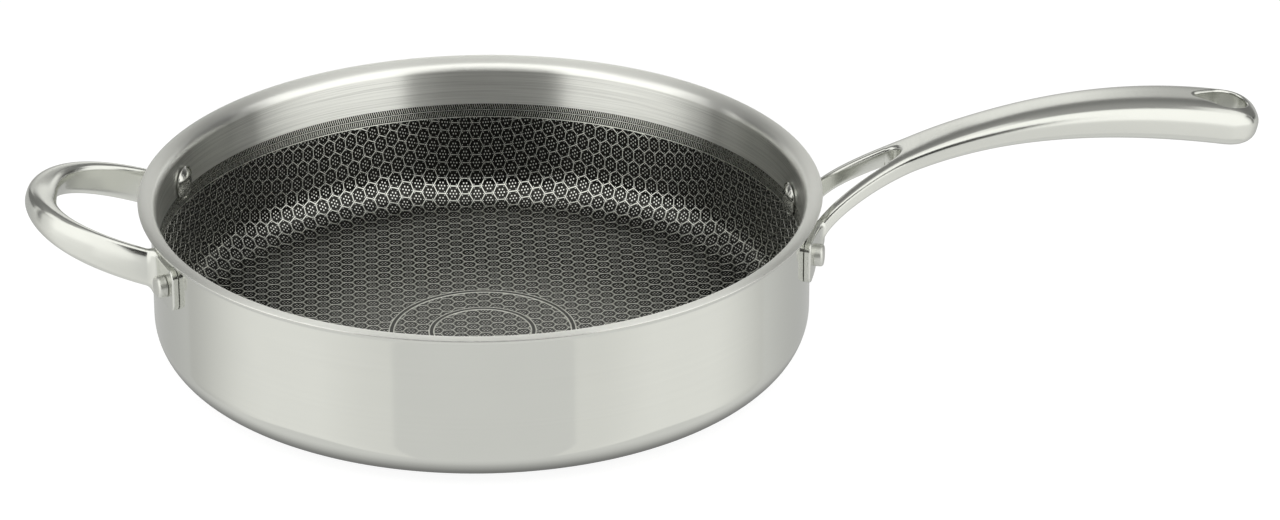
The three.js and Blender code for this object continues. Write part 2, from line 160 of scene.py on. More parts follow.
@dataclass
class Surface:
    """Points and faces of a mesh in the making, with flat coordinates where its finish needs them."""

    points: Array
    faces: Faces
    flat: Array | None = None
    normals: Array | None = None

    @staticmethod
    def joined(parts: Sequence["Surface"]) -> "Surface":
        """Joins several surfaces.

        Args:
            parts: The surfaces.

        Returns:
            One surface, with flat coordinates where all the parts have them.
        """
        faces = []
        count = 0
        for part in parts:
            faces += [tuple(index + count for index in face) for face in part.faces]
            count += len(part.points)
        flat = None
        if all(part.flat is not None for part in parts):
            flat = np.concatenate([part.flat for part in parts])
        return Surface(np.concatenate([part.points for part in parts]), faces, flat)

    def as_piece(self, name: str, material: bpy.types.Material, slot: Slot, *nodes: str) -> None:
        """Makes the Blender piece and hands it to the frame.

        Args:
            name: The piece's name.
            material: Its finish.
            slot: Not used.
            nodes: The solids that the piece stands for.
        """
        mesh = bpy.data.meshes.new(name)
        mesh.from_pydata(self.points.tolist(), [], self.faces)
        mesh.polygons.foreach_set("use_smooth", [True] * len(mesh.polygons))
        if self.flat is not None:
            layer = mesh.uv_layers.new(name=BLANK_MAP)
            corners = np.empty(len(mesh.loops), dtype=np.int32)
            mesh.loops.foreach_get("vertex_index", corners)
            layer.uv.foreach_set("vector", self.flat[corners].astype(np.float32).ravel())
        mesh.set_sharp_from_angle(angle=SHARP_ANGLE)
        if self.normals is not None:
            mesh.normals_split_custom_set_from_vertices(self.normals.tolist())
        mesh.materials.append(material)
        mesh.validate()
        piece = in_scene(name, mesh)
        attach(piece, ROOT_BODY)
        if nodes:
            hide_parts(*nodes)
        log.info("%s: %d faces", name, len(mesh.polygons))


def turned(profile: Array, sides: int, reach: Array | None = None) -> Surface:
    """Turns a profile about the Z axis.

    Args:
        profile: Rows of radius and height. It starts and ends on the axis, or else closes on itself.
        sides: Number of steps round the axis.
        reach: Distance of each row from the centre of the flat blank, or else measured along the profile.

    Returns:
        The closed surface.
    """
    angles = np.arange(sides) * 2 * math.pi / sides
    around = np.stack([np.cos(angles), np.sin(angles)], axis=1)
    if reach is None:
        steps = np.hypot(*np.diff(profile, axis=0).T)
        reach = np.concatenate([[0.0], np.cumsum(steps)])
    closes_on_axis = profile[0, 0] == 0
    rows = profile[1:-1] if closes_on_axis else profile
    row_reach = reach[1:-1] if closes_on_axis else reach
    rings = [np.column_stack([radius * around, np.full(sides, height)]) for radius, height in rows]
    flat = [distance * around for distance in row_reach]
    faces = []
    last = len(rows) - 1
    for row in range(last if closes_on_axis else len(rows)):
        here, above = row * sides, (row + 1) % len(rows) * sides
        for step in range(sides):
            following = (step + 1) % sides
            faces.append((here + step, here + following, above + following, above + step))
    if closes_on_axis:
        bottom = len(rows) * sides
        rings.append(np.array([[0, 0, profile[0, 1]], [0, 0, profile[-1, 1]]]))
        flat.append(np.zeros((2, 2)))
        for step in range(sides):
            following = (step + 1) % sides
            faces.append((bottom, following, step))
            faces.append((bottom + 1, last * sides + step, last * sides + following))
    return Surface(np.concatenate(rings), faces, np.concatenate(flat))


class Casting:
    """A cast piece, given by the signed distance to its skin and meshed evenly."""

    EDGES = tuple(
        (low, low + step)
        for step in (1, 2, 4)
        for low in range(8)
        if not low & step
    )
    PASSES = 3
    SLOPE_STEP = 0.05
    LEAST_SLOPE = 1e-6

    def __init__(
        self, distance: Callable[[Array, Array, Array], Array], low: Vector, high: Vector, pitch: float
    ) -> None:
        """Keeps the form and the grid that it is cut on.

        Args:
            distance: Gives the signed distance at points, negative in the metal.
            low: Lowest corner of the mould.
            high: Highest corner of the mould.
            pitch: Spacing of the mesh.
        """
        self.distance = distance
        self.pitch = pitch
        counts = [int(math.ceil((end - start) / pitch)) + 1 for start, end in zip(low, high)]
        self.axes = [start + pitch * np.arange(count) for start, count in zip(low, counts)]

    def poured(self) -> Surface:
        """Meshes the skin evenly and moves the points onto it.

        Returns:
            The mesh of quads, with the normals of the form.
        """
        x, y, z = self.axes
        levels = self.distance(x[:, None, None], y[None, :, None], z[None, None, :])
        inside = levels < 0
        cells = self._mixed_cells(inside)
        points = self._crossings(levels, cells)
        faces = self._quads(inside, cells)
        for _ in range(self.PASSES):
            slope = self._slope(points)
            steepness = np.maximum((slope * slope).sum(axis=1), self.LEAST_SLOPE)
            points = points - (self.distance(*points.T) / steepness)[:, None] * slope
        slope = self._slope(points)
        normals = slope / np.linalg.norm(slope, axis=1)[:, None]
        return Surface(points, faces, normals=normals)

    def _mixed_cells(self, inside: Array) -> Array:
        """Finds the cells of the grid that the skin passes through.

        Args:
            inside: Whether each point of the grid is in the metal.

        Returns:
            One row of indices for each cell.
        """
        corners = [
            inside[a:inside.shape[0] - 1 + a, b:inside.shape[1] - 1 + b, c:inside.shape[2] - 1 + c]
            for c in (0, 1)
            for b in (0, 1)
            for a in (0, 1)
        ]
        return np.argwhere(np.logical_or.reduce(corners) & ~np.logical_and.reduce(corners))

    def _crossings(self, levels: Array, cells: Array) -> Array:
        """Puts one point in each cell: the mean of where the skin crosses the cell's edges.

        Args:
            levels: Signed distances on the grid.
            cells: Indices of the cells.

        Returns:
            The points.
        """
        offsets = np.array([[corner & 1, corner >> 1 & 1, corner >> 2 & 1] for corner in range(8)])
        values = np.stack([levels[tuple((cells + offset).T)] for offset in offsets], axis=1)
        total = np.zeros((len(cells), 3))
        count = np.zeros(len(cells))
        for low, high in self.EDGES:
            crossed = (values[:, low] < 0) != (values[:, high] < 0)
            share = values[:, low] / np.where(crossed, values[:, low] - values[:, high], 1)
            place = offsets[low] + share[:, None] * (offsets[high] - offsets[low])
            total += np.where(crossed[:, None], place, 0)
            count += crossed
        start = np.array([axis[0] for axis in self.axes])
        return start + self.pitch * (cells + total / count[:, None])

    def _quads(self, inside: Array, cells: Array) -> Faces:
        """Makes a quad for each edge of the grid that the skin crosses.

        Args:
            inside: Whether each point of the grid is in the metal.
            cells: Indices of the cells that have a point.

        Returns:
            The quads, facing out of the metal.
        """
        index = np.full(np.array(inside.shape) - 1, -1, dtype=np.int64)
        index[tuple(cells.T)] = np.arange(len(cells))
        limit = np.array(inside.shape) - 1
        faces = []
        for axis, (first, second) in enumerate(((1, 2), (2, 0), (0, 1))):
            crossed = np.argwhere(inside != np.roll(inside, -1, axis=axis))
            within = (crossed < limit).all(axis=1)
            crossed = crossed[within & (crossed[:, first] > 0) & (crossed[:, second] > 0)]
            one, two = np.eye(3, dtype=int)[first], np.eye(3, dtype=int)[second]
            ring = [crossed - one - two, crossed - two, crossed, crossed - one]
            quads = np.stack([index[tuple(corner.T)] for corner in ring], axis=1)
            leaves = inside[tuple(crossed.T)]
            quads[~leaves] = quads[~leaves][:, ::-1]
            faces += [tuple(quad) for quad in quads.tolist()]
        return faces

    def _slope(self, points: Array) -> Array:
        """Measures the gradient of the distance.

        Args:
            points: Where to measure it.

        Returns:
            One row for each point.
        """
        step = self.SLOPE_STEP * self.pitch
        columns = []
        for axis in np.eye(3) * step:
            columns.append(self.distance(*(points + axis).T) - self.distance(*(points - axis).T))
        return np.stack(columns, axis=1) / (2 * step)


class CentreLine:
    """A plane curve that points are measured from: along it and across it."""

    POINTS = 1500
    COARSE_POINTS = 120
    PASSES = 3

    def __init__(self, points: Array) -> None:
        """Keeps the curve with its tangents.

        Args:
            points: Finely spaced points in order.
        """
        steps = np.hypot(*np.diff(points, axis=0).T)
        self.along = np.concatenate([[0.0], np.cumsum(steps)])
        self.points = points
        tangent = np.gradient(points, self.along, axis=0, edge_order=2)
        self.tangent = tangent / np.hypot(*tangent.T)[:, None]
        self.length = self.along[-1]

    def at(self, along: Array) -> tuple[Array, Array, Array, Array]:
        """Finds places on the curve, which runs straight on past its ends.

        Args:
            along: Distances along the curve.

        Returns:
            Both coordinates of the places, and both of the tangents there.
        """
        tangent_x = np.interp(along, self.along, self.tangent[:, 0])
        tangent_y = np.interp(along, self.along, self.tangent[:, 1])
        scale = np.hypot(tangent_x, tangent_y)
        tangent_x, tangent_y = tangent_x / scale, tangent_y / scale
        beyond = along - np.clip(along, 0, self.length)
        place_x = np.interp(along, self.along, self.points[:, 0]) + beyond * tangent_x
        place_y = np.interp(along, self.along, self.points[:, 1]) + beyond * tangent_y
        return place_x, place_y, tangent_x, tangent_y

    def measured(self, x: Array, y: Array) -> tuple[Array, Array]:
        """Measures points of the plane from the curve.

        Args:
            x: First coordinates.
            y: Second coordinates, of a shape that fits the first.

        Returns:
            Distances along the curve, and distances to its left.
        """
        x, y = np.broadcast_arrays(x, y)
        stride = max(1, len(self.points) // self.COARSE_POINTS)
        nearest = np.full(x.shape, np.inf)
        along = np.zeros(x.shape)
        for place, distance in zip(self.points[::stride], self.along[::stride]):
            gap = (x - place[0]) ** 2 + (y - place[1]) ** 2
            closer = gap < nearest
            nearest = np.where(closer, gap, nearest)
            along = np.where(closer, distance, along)
        for _ in range(self.PASSES):
            place_x, place_y, tangent_x, tangent_y = self.at(along)
            along = along + (x - place_x) * tangent_x + (y - place_y) * tangent_y
        place_x, place_y, tangent_x, tangent_y = self.at(along)
        return along, (y - place_y) * tangent_x - (x - place_x) * tangent_y


@dataclass(frozen=True)
class WallFit:
    """How both cast handles sit on the wall."""

    wall_radius: float
    seat_gap: float = 0.08 * MM
    foot_thickness: float = 2.8 * MM
    foot_corner: float = 4 * MM
    foot_edge: float = 0.7 * MM
    fillet: float = 4 * MM
    bore_radius: float = 3.3 * MM

    @property
    def inside(self) -> float:
        """Radius of the feet's face against the wall."""
        return self.wall_radius + self.seat_gap

    def foot(self, place: Place, rivet: "RivetPlace", inner: float, outer: float, tall: float) -> Array:
        """Gives the distance to a foot: a plate bent to the wall.

        Args:
            place: Coordinates of the points.
            rivet: The rivet that holds the foot.
            inner: Reach of the plate from the rivet towards the middle plane.
            outer: Reach of the plate from the rivet to its free end.
            tall: Height of the plate.

        Returns:
            The signed distances.
        """
        x, y, z = place
        middle = self.inside + (self.foot_thickness - self.foot_edge) / 2
        turn = np.arctan2(rivet.aside(x, y), rivet.ahead(x, y))
        along = middle * turn * rivet.away - (outer - inner) / 2
        half = np.array([(outer + inner) / 2, tall / 2]) - self.foot_corner
        over_x = np.abs(along) - half[0]
        over_z = np.abs(z - rivet.height) - half[1]
        outline = np.hypot(np.maximum(over_x, 0), np.maximum(over_z, 0))
        outline = outline + np.minimum(np.maximum(over_x, over_z), 0) - self.foot_corner
        thick = np.abs(np.hypot(x, y) - middle) - (self.foot_thickness + self.foot_edge) / 2
        return rounded_prism(outline, thick, self.foot_edge)

    def bore(self, place: Place, rivet: "RivetPlace") -> Array:
        """Returns the distance to the bore that a rivet's shank goes through."""
        x, y, z = place
        return np.hypot(rivet.aside(x, y), z - rivet.height) - self.bore_radius

    def footed(
        self, body: Array, place: Place, rivets: list["RivetPlace"], leg: float, end: float, tall: float
    ) -> Array:
        """Joins a handle to its feet, cuts it back to the wall and bores it for its rivets.

        Args:
            body: Signed distances to the handle without feet.
            place: Coordinates of the points.
            rivets: The rivets that hold the feet.
            leg: Distance of a leg's inner face from the middle plane.
            end: Reach of a foot from its rivet to its free end.
            tall: Height of a foot.

        Returns:
            The signed distances to the whole handle.
        """
        inner = abs(math.sin(rivets[0].angle)) * self.wall_radius - leg
        for rivet in rivets:
            body = blended_min(body, self.foot(place, rivet, inner, end, tall), self.fillet)
        body = np.maximum(body, self.inside - np.hypot(*place[:2]))
        for rivet in rivets:
            body = np.maximum(body, -self.bore(place, rivet))
        return body


@dataclass(frozen=True)
class RivetPlace:
    """Where a rivet goes through the wall."""

    node: str
    angle: float
    height: float

    @classmethod
    def of(cls, node: str) -> "RivetPlace":
        """Reads a rivet's place from its solid.

        Args:
            node: Name of the solid.

        Returns:
            The place.
        """
        low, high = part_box(node)
        centre = (low + high) / 2
        return cls(node, math.atan2(centre.y, centre.x), centre.z)

    @property
    def away(self) -> int:
        """Sign of a turn about Z that leads away from the middle plane."""
        return int(math.copysign(1, math.sin(self.angle) * math.cos(self.angle)))

    def aside(self, x: Array, y: Array) -> Array:
        """Returns how far points lie beside the rivet's axis."""
        return y * math.cos(self.angle) - x * math.sin(self.angle)

    def ahead(self, x: Array, y: Array) -> Array:
        """Returns how far points lie out along the rivet's axis."""
        return x * math.cos(self.angle) + y * math.sin(self.angle)


@dataclass
class Camera:
    """The view of the photograph."""

    aim: tuple[float, float, float] = (67.5 * MM, -3.77 * MM, 36.47 * MM)
    distance: float = 2250 * MM
    azimuth: float = math.radians(-3.2)
    elevation: float = math.radians(25.44)
    lens: float = 148.2
    sensor: float = 36.0

    def build(self) -> None:
        """Makes the camera and puts it to use."""
        data = bpy.data.cameras.new("camera")
        data.lens = self.lens
        data.sensor_width = self.sensor
        camera = in_scene("camera", data)
        level = math.cos(self.elevation)
        aside, ahead = math.sin(self.azimuth), math.cos(self.azimuth)
        back = Vector((aside * level, -ahead * level, math.sin(self.elevation)))
        camera.location = Vector(self.aim) + self.distance * back
        camera.rotation_mode = "QUATERNION"
        camera.rotation_quaternion = (-back).to_track_quat("-Z", "Y")
        bpy.context.scene.camera = camera


@dataclass
class CladBody:
    """The clad body: outer steel, core, inner steel, dark coating and the bare steel relief in it."""

    wall_radius: float = 140 * MM
    height: float = 70 * MM
    corner_radius: float = 18 * MM
    outer_steel: float = 0.5 * MM
    core: float = 1.6 * MM
    inner_steel: float = 0.5 * MM
    bond: float = 0.02 * MM
    rim_bend: float = 2.9 * MM
    rim_turn: float = math.radians(115)
    hem_turn: float = math.radians(20)
    edge_rounding: float = 0.22 * MM
    film: float = 0.1 * MM
    bare_band: float = 21 * MM
    cell_edge: float = 3.58 * MM
    cell_offset: tuple[float, float] = (1.44 * MM, 1.5 * MM)
    corner_stretch: float = 1.17
    wall_stretch: float = 1.27
    ridge_top: tuple[float, float] = (0.34 * MM, 0.27 * MM)
    ridge_base: tuple[float, float] = (0.46 * MM, 0.34 * MM)
    ridge_rise: tuple[float, float] = (0.12 * MM, 0.06 * MM)
    ridge_fade: tuple[float, float] = (10 * MM, 22 * MM)
    ridge_depth: float = 0.08 * MM
    tick_rows: tuple[tuple[float, float], ...] = ((43.25 * MM, 45.7 * MM), (46.6 * MM, 48.95 * MM))
    tick_lines: tuple[tuple[float, float], ...] = ((42.65 * MM, 42.95 * MM), (46.0 * MM, 46.3 * MM))
    tick_count: int = 860
    tick_width: float = 0.32 * MM
    tick_slant: float = 0.7 * MM
    ring_radii: tuple[float, ...] = (22.0 * MM, 39.2 * MM)
    ring_width: float = 2.0 * MM
    ring_line: float = 0.75 * MM
    band_rise: float = 0.144 * MM
    line_rise: float = 0.168 * MM
    line_taper: float = 0.7
    same_point: float = 0.0001 * MM
    sides: int = 192
    corner_steps: int = 18
    rim_steps: int = 16
    edge_steps: int = 4

    @property
    def clad(self) -> float:
        """Thickness of the whole wall."""
        return self.outer_steel + self.core + self.inner_steel

    @property
    def rim_start(self) -> float:
        """Height at which the rim starts to roll."""
        return self.height - self.rim_bend - self.clad

    def floor_curve(self, depth: float) -> Array:
        """Draws the floor and the corner.

        Args:
            depth: Depth below the outside.

        Returns:
            The points from the axis to the upright wall.
        """
        centre = (self.floor_radius, self.corner_radius)
        corner = arc(centre, self.corner_radius - depth, -math.pi / 2, 0, self.corner_steps)
        return np.vstack([[0, depth], corner])

    def rim_curve(self, depth: float, start: float, end: float) -> Array:
        """Returns the rolled rim at a depth below the outside, between two turns from upright."""
        centre = (self.wall_radius + self.rim_bend, self.rim_start)
        return arc(centre, self.rim_bend + depth, math.pi - start, math.pi - end, self.rim_steps)

    def rim_edge(self, low: float, high: float) -> Array:
        """Draws the cut edge of the rim with both corners rounded.

        Args:
            low: Depth at which the edge starts.
            high: Depth at which it ends.

        Returns:
            The points in order.
        """
        centre = np.array([self.wall_radius + self.rim_bend, self.rim_start])
        outward = np.array([math.cos(math.pi - self.rim_turn), math.sin(math.pi - self.rim_turn)])
        ahead = np.array([outward[1], -outward[0]])
        frame_axes = np.stack([outward, ahead])
        rounding = self.edge_rounding
        start = arc((low + rounding, -rounding), rounding, math.pi, math.pi / 2, self.edge_steps)
        end = arc((high - rounding, -rounding), rounding, math.pi / 2, 0, self.edge_steps)
        local = np.vstack([start, end]) + [self.rim_bend, 0]
        return centre + local @ frame_axes

    @property
    def trimmed_turn(self) -> float:
        """Turn at which the rim's rounded edge starts."""
        return self.rim_turn - self.edge_rounding / self.rim_bend

    def outer_shell(self) -> Surface:
        """Turns the outer steel, hooked over the core's edge at the rim.

        Returns:
            The closed skin.
        """
        core_turn = self.rim_turn - self.hem_turn
        inside = self.outer_steel + self.core
        return turned(np.vstack([
            self.floor_curve(0),
            self.rim_curve(0, 0, self.trimmed_turn),
            self.rim_edge(0, inside),
            self.rim_curve(inside, self.trimmed_turn, core_turn),
            self.rim_curve(self.outer_steel, core_turn, 0),
            self.floor_curve(self.outer_steel)[::-1],
        ]), self.sides)

    def inner_liner(self) -> Surface:
        """Turns the inner steel, from the floor over the rim to its edge.

        Returns:
            The closed skin.
        """
        outside = self.outer_steel + self.core + self.bond
        return turned(np.vstack([
            self.floor_curve(outside),
            self.rim_curve(outside, 0, self.trimmed_turn),
            self.rim_edge(outside, self.clad),
            self.rim_curve(self.clad, self.trimmed_turn, 0),
            self.floor_curve(self.clad)[::-1],
        ]), self.sides)

    def film_skin(self) -> Surface:
        """Turns the dark film on the floor, the corner and the lower wall.

        Returns:
            The film, with the plain bands of the floor.
        """
        outside = self.clad + self.bond
        top = self.height - self.bare_band
        back = np.vstack([self.floor_curve(outside), [self.wall_radius - outside, top]])
        front = np.vstack([self.floor_curve(self.film_depth), [self.film_radius, top]])
        run = np.concatenate([[0.0], np.cumsum(np.hypot(*np.diff(front, axis=0).T))])
        reach = self.blank_reach(run)
        skin = turned(np.vstack([back, front[::-1]]), self.sides, np.concatenate([reach, reach[::-1]]))
        return Surface.joined([skin, *self._ring_bands()])

    def _ring_bands(self) -> list[Surface]:
        """Turns the plain dark bands that cross the honeycomb on the floor.

        Returns:
            The bands, with flat coordinates that lie off the pattern.
        """
        off_pattern = 2 * self.wall_radius
        bands = []
        for radius in self.ring_radii:
            ring = self._floor_ring(radius, self.ring_width, self.ring_width, self.band_rise)
            bands.append(turned(ring, self.sides, np.full(len(ring), off_pattern)))
        return bands

    def _floor_ring(self, radius: float, base: float, top: float, rise: float) -> Array:
        """Draws the section of a ring that stands on the floor and is rooted in the film.

        Args:
            radius: Middle radius of the ring.
            base: Width at its root.
            top: Width at its top.
            rise: Height above the film.

        Returns:
            The four corners.
        """
        low, high = self.film_depth - self.ridge_depth, self.film_depth + rise
        return np.array([
            [radius - base / 2, low],
            [radius + base / 2, low],
            [radius + top / 2, high],
            [radius - top / 2, high],
        ])

    @property
    def film_depth(self) -> float:
        """Depth of the film's surface below the outside."""
        return self.clad + self.bond + self.film

    @property
    def film_radius(self) -> float:
        """Radius of the film's surface on the wall."""
        return self.wall_radius - self.film_depth

    @property
    def film_bend(self) -> float:
        """Radius of the film's surface in the corner."""
        return self.corner_radius - self.film_depth

    @property
    def floor_radius(self) -> float:
        """Radius at which the flat floor ends."""
        return self.wall_radius - self.corner_radius

    def blank_reach(self, run: Array) -> Array:
        """Tells where on the flat blank the drawn metal came from.

        Args:
            run: Distances from the centre, along the floor, the corner and the wall.

        Returns:
            Distances from the centre of the blank, which drawing stretched.
        """
        corner = self.film_bend * math.pi / 2
        over = np.asarray(run) - self.floor_radius
        bent = np.clip(over, 0, corner) / self.corner_stretch
        return np.minimum(run, self.floor_radius) + bent + np.maximum(over - corner, 0) / self.wall_stretch

    def wall_run(self, height: float) -> float:
        """Returns the distance from the centre to a height on the wall, along the surface."""
        corner = self.film_bend * math.pi / 2
        return self.floor_radius + corner + height - self.corner_radius

    def drawn(self, flat: Array, lift: Array | float) -> Array:
        """Draws points of the flat blank into the pan.

        Args:
            flat: Rows of coordinates on the flat blank.
            lift: Height above the film's surface.

        Returns:
            The points in the pan.
        """
        bend = self.film_bend
        reach = np.hypot(*flat.T)
        over = reach - self.floor_radius
        turn = np.clip(over * self.corner_stretch / bend, 0, math.pi / 2)
        up = np.maximum(over - bend * math.pi / 2 / self.corner_stretch, 0) * self.wall_stretch
        radius = np.minimum(reach, self.floor_radius) + (bend - lift) * np.sin(turn)
        height = self.corner_radius - (bend - lift) * np.cos(turn) + up
        spread = radius / np.maximum(reach, TINY)
        return np.column_stack([flat * spread[:, None], height])

    def relief(self) -> Surface:
        """Returns the bare steel that stands through the coating: honeycomb, tick band and rings."""
        return Surface.joined([self._honeycomb(), self._ticks(), self._lines()])

    @property
    def pattern_reach(self) -> float:
        """Distance from the blank's centre at which the honeycomb ends."""
        return float(self.blank_reach(self.wall_run(self.tick_lines[0][0])))

    def _cells(self) -> list[tuple[Array, Array]]:
        """Lays out the honeycomb on the blank.

        Returns:
            For each cell its outline, and for each corner whether the edge after it lies on the border.
        """
        limit = self.pattern_reach
        column, row = 1.5 * self.cell_edge, math.sqrt(3) * self.cell_edge
        corners = arc((0, 0), self.cell_edge, 0, 2 * math.pi, HEXAGON_SIDES)[:-1]
        span = int(limit / column) + 2
        cells = []
        for across in range(-span, span + 1):
            for up in range(-span, span + 1):
                centre = np.array([across * column, (up + across % 2 / 2) * row]) + self.cell_offset
                if np.hypot(*centre) > limit + self.cell_edge:
                    continue
                outline, border = self._clipped(centre + corners, limit)
                if len(outline) > 2:
                    cells.append((outline, border))
        return cells

    @staticmethod
    def _clipped(outline: Array, limit: float) -> tuple[Array, Array]:
        """Cuts an outline at a circle round the blank's centre.

        Args:
            outline: Corners in order.
            limit: Radius of the circle.

        Returns:
            The corners that are left, and for each whether the edge after it lies on the circle.
        """
        kept = []
        border = []
        for here, following in zip(outline, np.roll(outline, -1, axis=0)):
            inside, then_inside = np.hypot(*here) <= limit, np.hypot(*following) <= limit
            if inside:
                kept.append(here)
                border.append(False)
            if inside != then_inside:
                step = following - here
                a, b, c = step @ step, here @ step, here @ here - limit * limit
                root = math.sqrt(b * b - a * c)
                share = (-b + root) / a if inside else (-b - root) / a
                kept.append(here + share * step)
                border.append(inside)
        return np.array(kept), np.array(border)

    def _inset(self, outline: Array, margin: float) -> Array | None:
        """Moves a convex outline inwards.

        Args:
            outline: Corners in order.
            margin: How far each edge moves.

        Returns:
            One moved corner for each corner, the same for corners that lie close together, or None where
            nothing is left.
        """
        keep = np.hypot(*(outline - np.roll(outline, 1, axis=0)).T) > self.ridge_base[0]
        if keep.sum() < 3:
            return None
        few = outline[keep]
        step = np.roll(few, -1, axis=0) - few
        inward = np.column_stack([-step[:, 1], step[:, 0]]) / np.hypot(*step.T)[:, None]
        level = (few * inward).sum(axis=1) + margin
        before, level_before = np.roll(inward, 1, axis=0), np.roll(level, 1)
        turn = before[:, 0] * inward[:, 1] - before[:, 1] * inward[:, 0]
        x = (level_before * inward[:, 1] - level * before[:, 1]) / turn
        y = (before[:, 0] * level - inward[:, 0] * level_before) / turn
        moved = np.column_stack([x, y])
        if (moved @ inward.T < level[None, :] - TINY).any():
            return None
        return moved[(np.cumsum(keep) - 1) % len(few)]

    def _worn(self, ends: tuple[float, float], flat: Array) -> float:
        """Gives a size of the ridges, which changes from the floor to the wall.

        Args:
            ends: The size on the floor and on the wall.
            flat: A point of the blank.

        Returns:
            The size at the point.
        """
        low, high = self.ridge_fade
        over = np.hypot(*flat) - self.floor_radius
        return float(lerp(*ends, smooth(over, low, high)))

    def _honeycomb(self) -> Surface:
        """Draws the ridges of the honeycomb.

        Returns:
            One closed network.
        """
        blank: list[Array] = []
        lifts: list[float] = []
        faces: Faces = []
        known: dict[tuple[int, int, bool], int] = {}

        def shared(point: Array, raised: bool) -> int:
            """Numbers the points of the network, each once.

            Args:
                point: A point of the blank.
                raised: Whether it is on the ridges' top, and not at their foot.

            Returns:
                Its number.
            """
            key = (round(point[0] / self.same_point), round(point[1] / self.same_point), raised)
            if key not in known:
                known[key] = len(blank)
                blank.append(point)
                lifts.append(self._worn(self.ridge_rise, point) if raised else -self.ridge_depth)
            return known[key]

        for outline, border in self._cells():
            count = len(outline)
            edges = [(here, (here + 1) % count) for here in range(count)]
            middle = outline.mean(axis=0)
            top = [shared(point, True) for point in outline]
            base = [shared(point, False) for point in outline]
            crest = self._inset(outline, self._worn(self.ridge_top, middle) / 2)
            foot = self._inset(outline, self._worn(self.ridge_base, middle) / 2)
            if crest is None or foot is None:
                faces.append(tuple(top))
                faces.append(tuple(reversed(base)))
            else:
                upper = [shared(point, True) for point in crest]
                lower = [shared(point, False) for point in foot]
                for here, following in edges:
                    for one, two in ((top, upper), (upper, lower), (lower, base)):
                        side = (one[here], one[following], two[following], two[here])
                        faces.append(tuple(dict.fromkeys(side)))
            for here, following in edges:
                if border[here]:
                    faces.append((base[here], base[following], top[following], top[here]))
        faces = [face for face in faces if len(face) > 2]
        return Surface(self.drawn(np.array(blank), np.array(lifts)), faces)

    def _ticks(self) -> Surface:
        """Draws two rows of slanting ticks round the wall.

        Returns:
            The ticks, each a small closed bar.
        """
        radius = self.film_radius
        points: list[list[float]] = []
        faces: Faces = []
        box = ((0, 1, 2, 3), (7, 6, 5, 4), (0, 4, 5, 1), (1, 5, 6, 2), (2, 6, 7, 3), (3, 7, 4, 0))
        for (start, end), slant in zip(self.tick_rows, (-1, 1)):
            lean = slant * self.tick_slant / 2 / radius
            half = self.tick_width / 2 / radius
            corners = ((-half - lean, start), (half - lean, start), (half + lean, end), (-half + lean, end))
            for count in range(self.tick_count):
                angle = count * 2 * math.pi / self.tick_count
                first = len(points)
                for reach in (radius - self.ridge_rise[1], radius + self.ridge_depth):
                    for turn, height in corners:
                        here = angle + turn
                        points.append([reach * math.cos(here), reach * math.sin(here), height])
                faces += [tuple(first + index for index in reversed(side)) for side in box]
        return Surface(np.array(points), faces)

    def _lines(self) -> Surface:
        """Draws the fine bare lines: two round the tick band and two pairs on the floor.

        Returns:
            The lines, each a closed ring.
        """
        inside = self.film_radius
        rings = []
        for low, high in self.tick_lines:
            rings.append(np.array([
                [inside - self.ridge_rise[1], low],
                [inside + self.ridge_depth, low],
                [inside + self.ridge_depth, high],
                [inside - self.ridge_rise[1], high],
            ]))
        top = self.ring_line * self.line_taper
        for radius in self.ring_radii:
            for edge in (radius - self.ring_width / 2, radius + self.ring_width / 2):
                rings.append(self._floor_ring(edge, self.ring_line, top, self.line_rise))
        return Surface.joined([turned(ring, self.sides) for ring in rings])


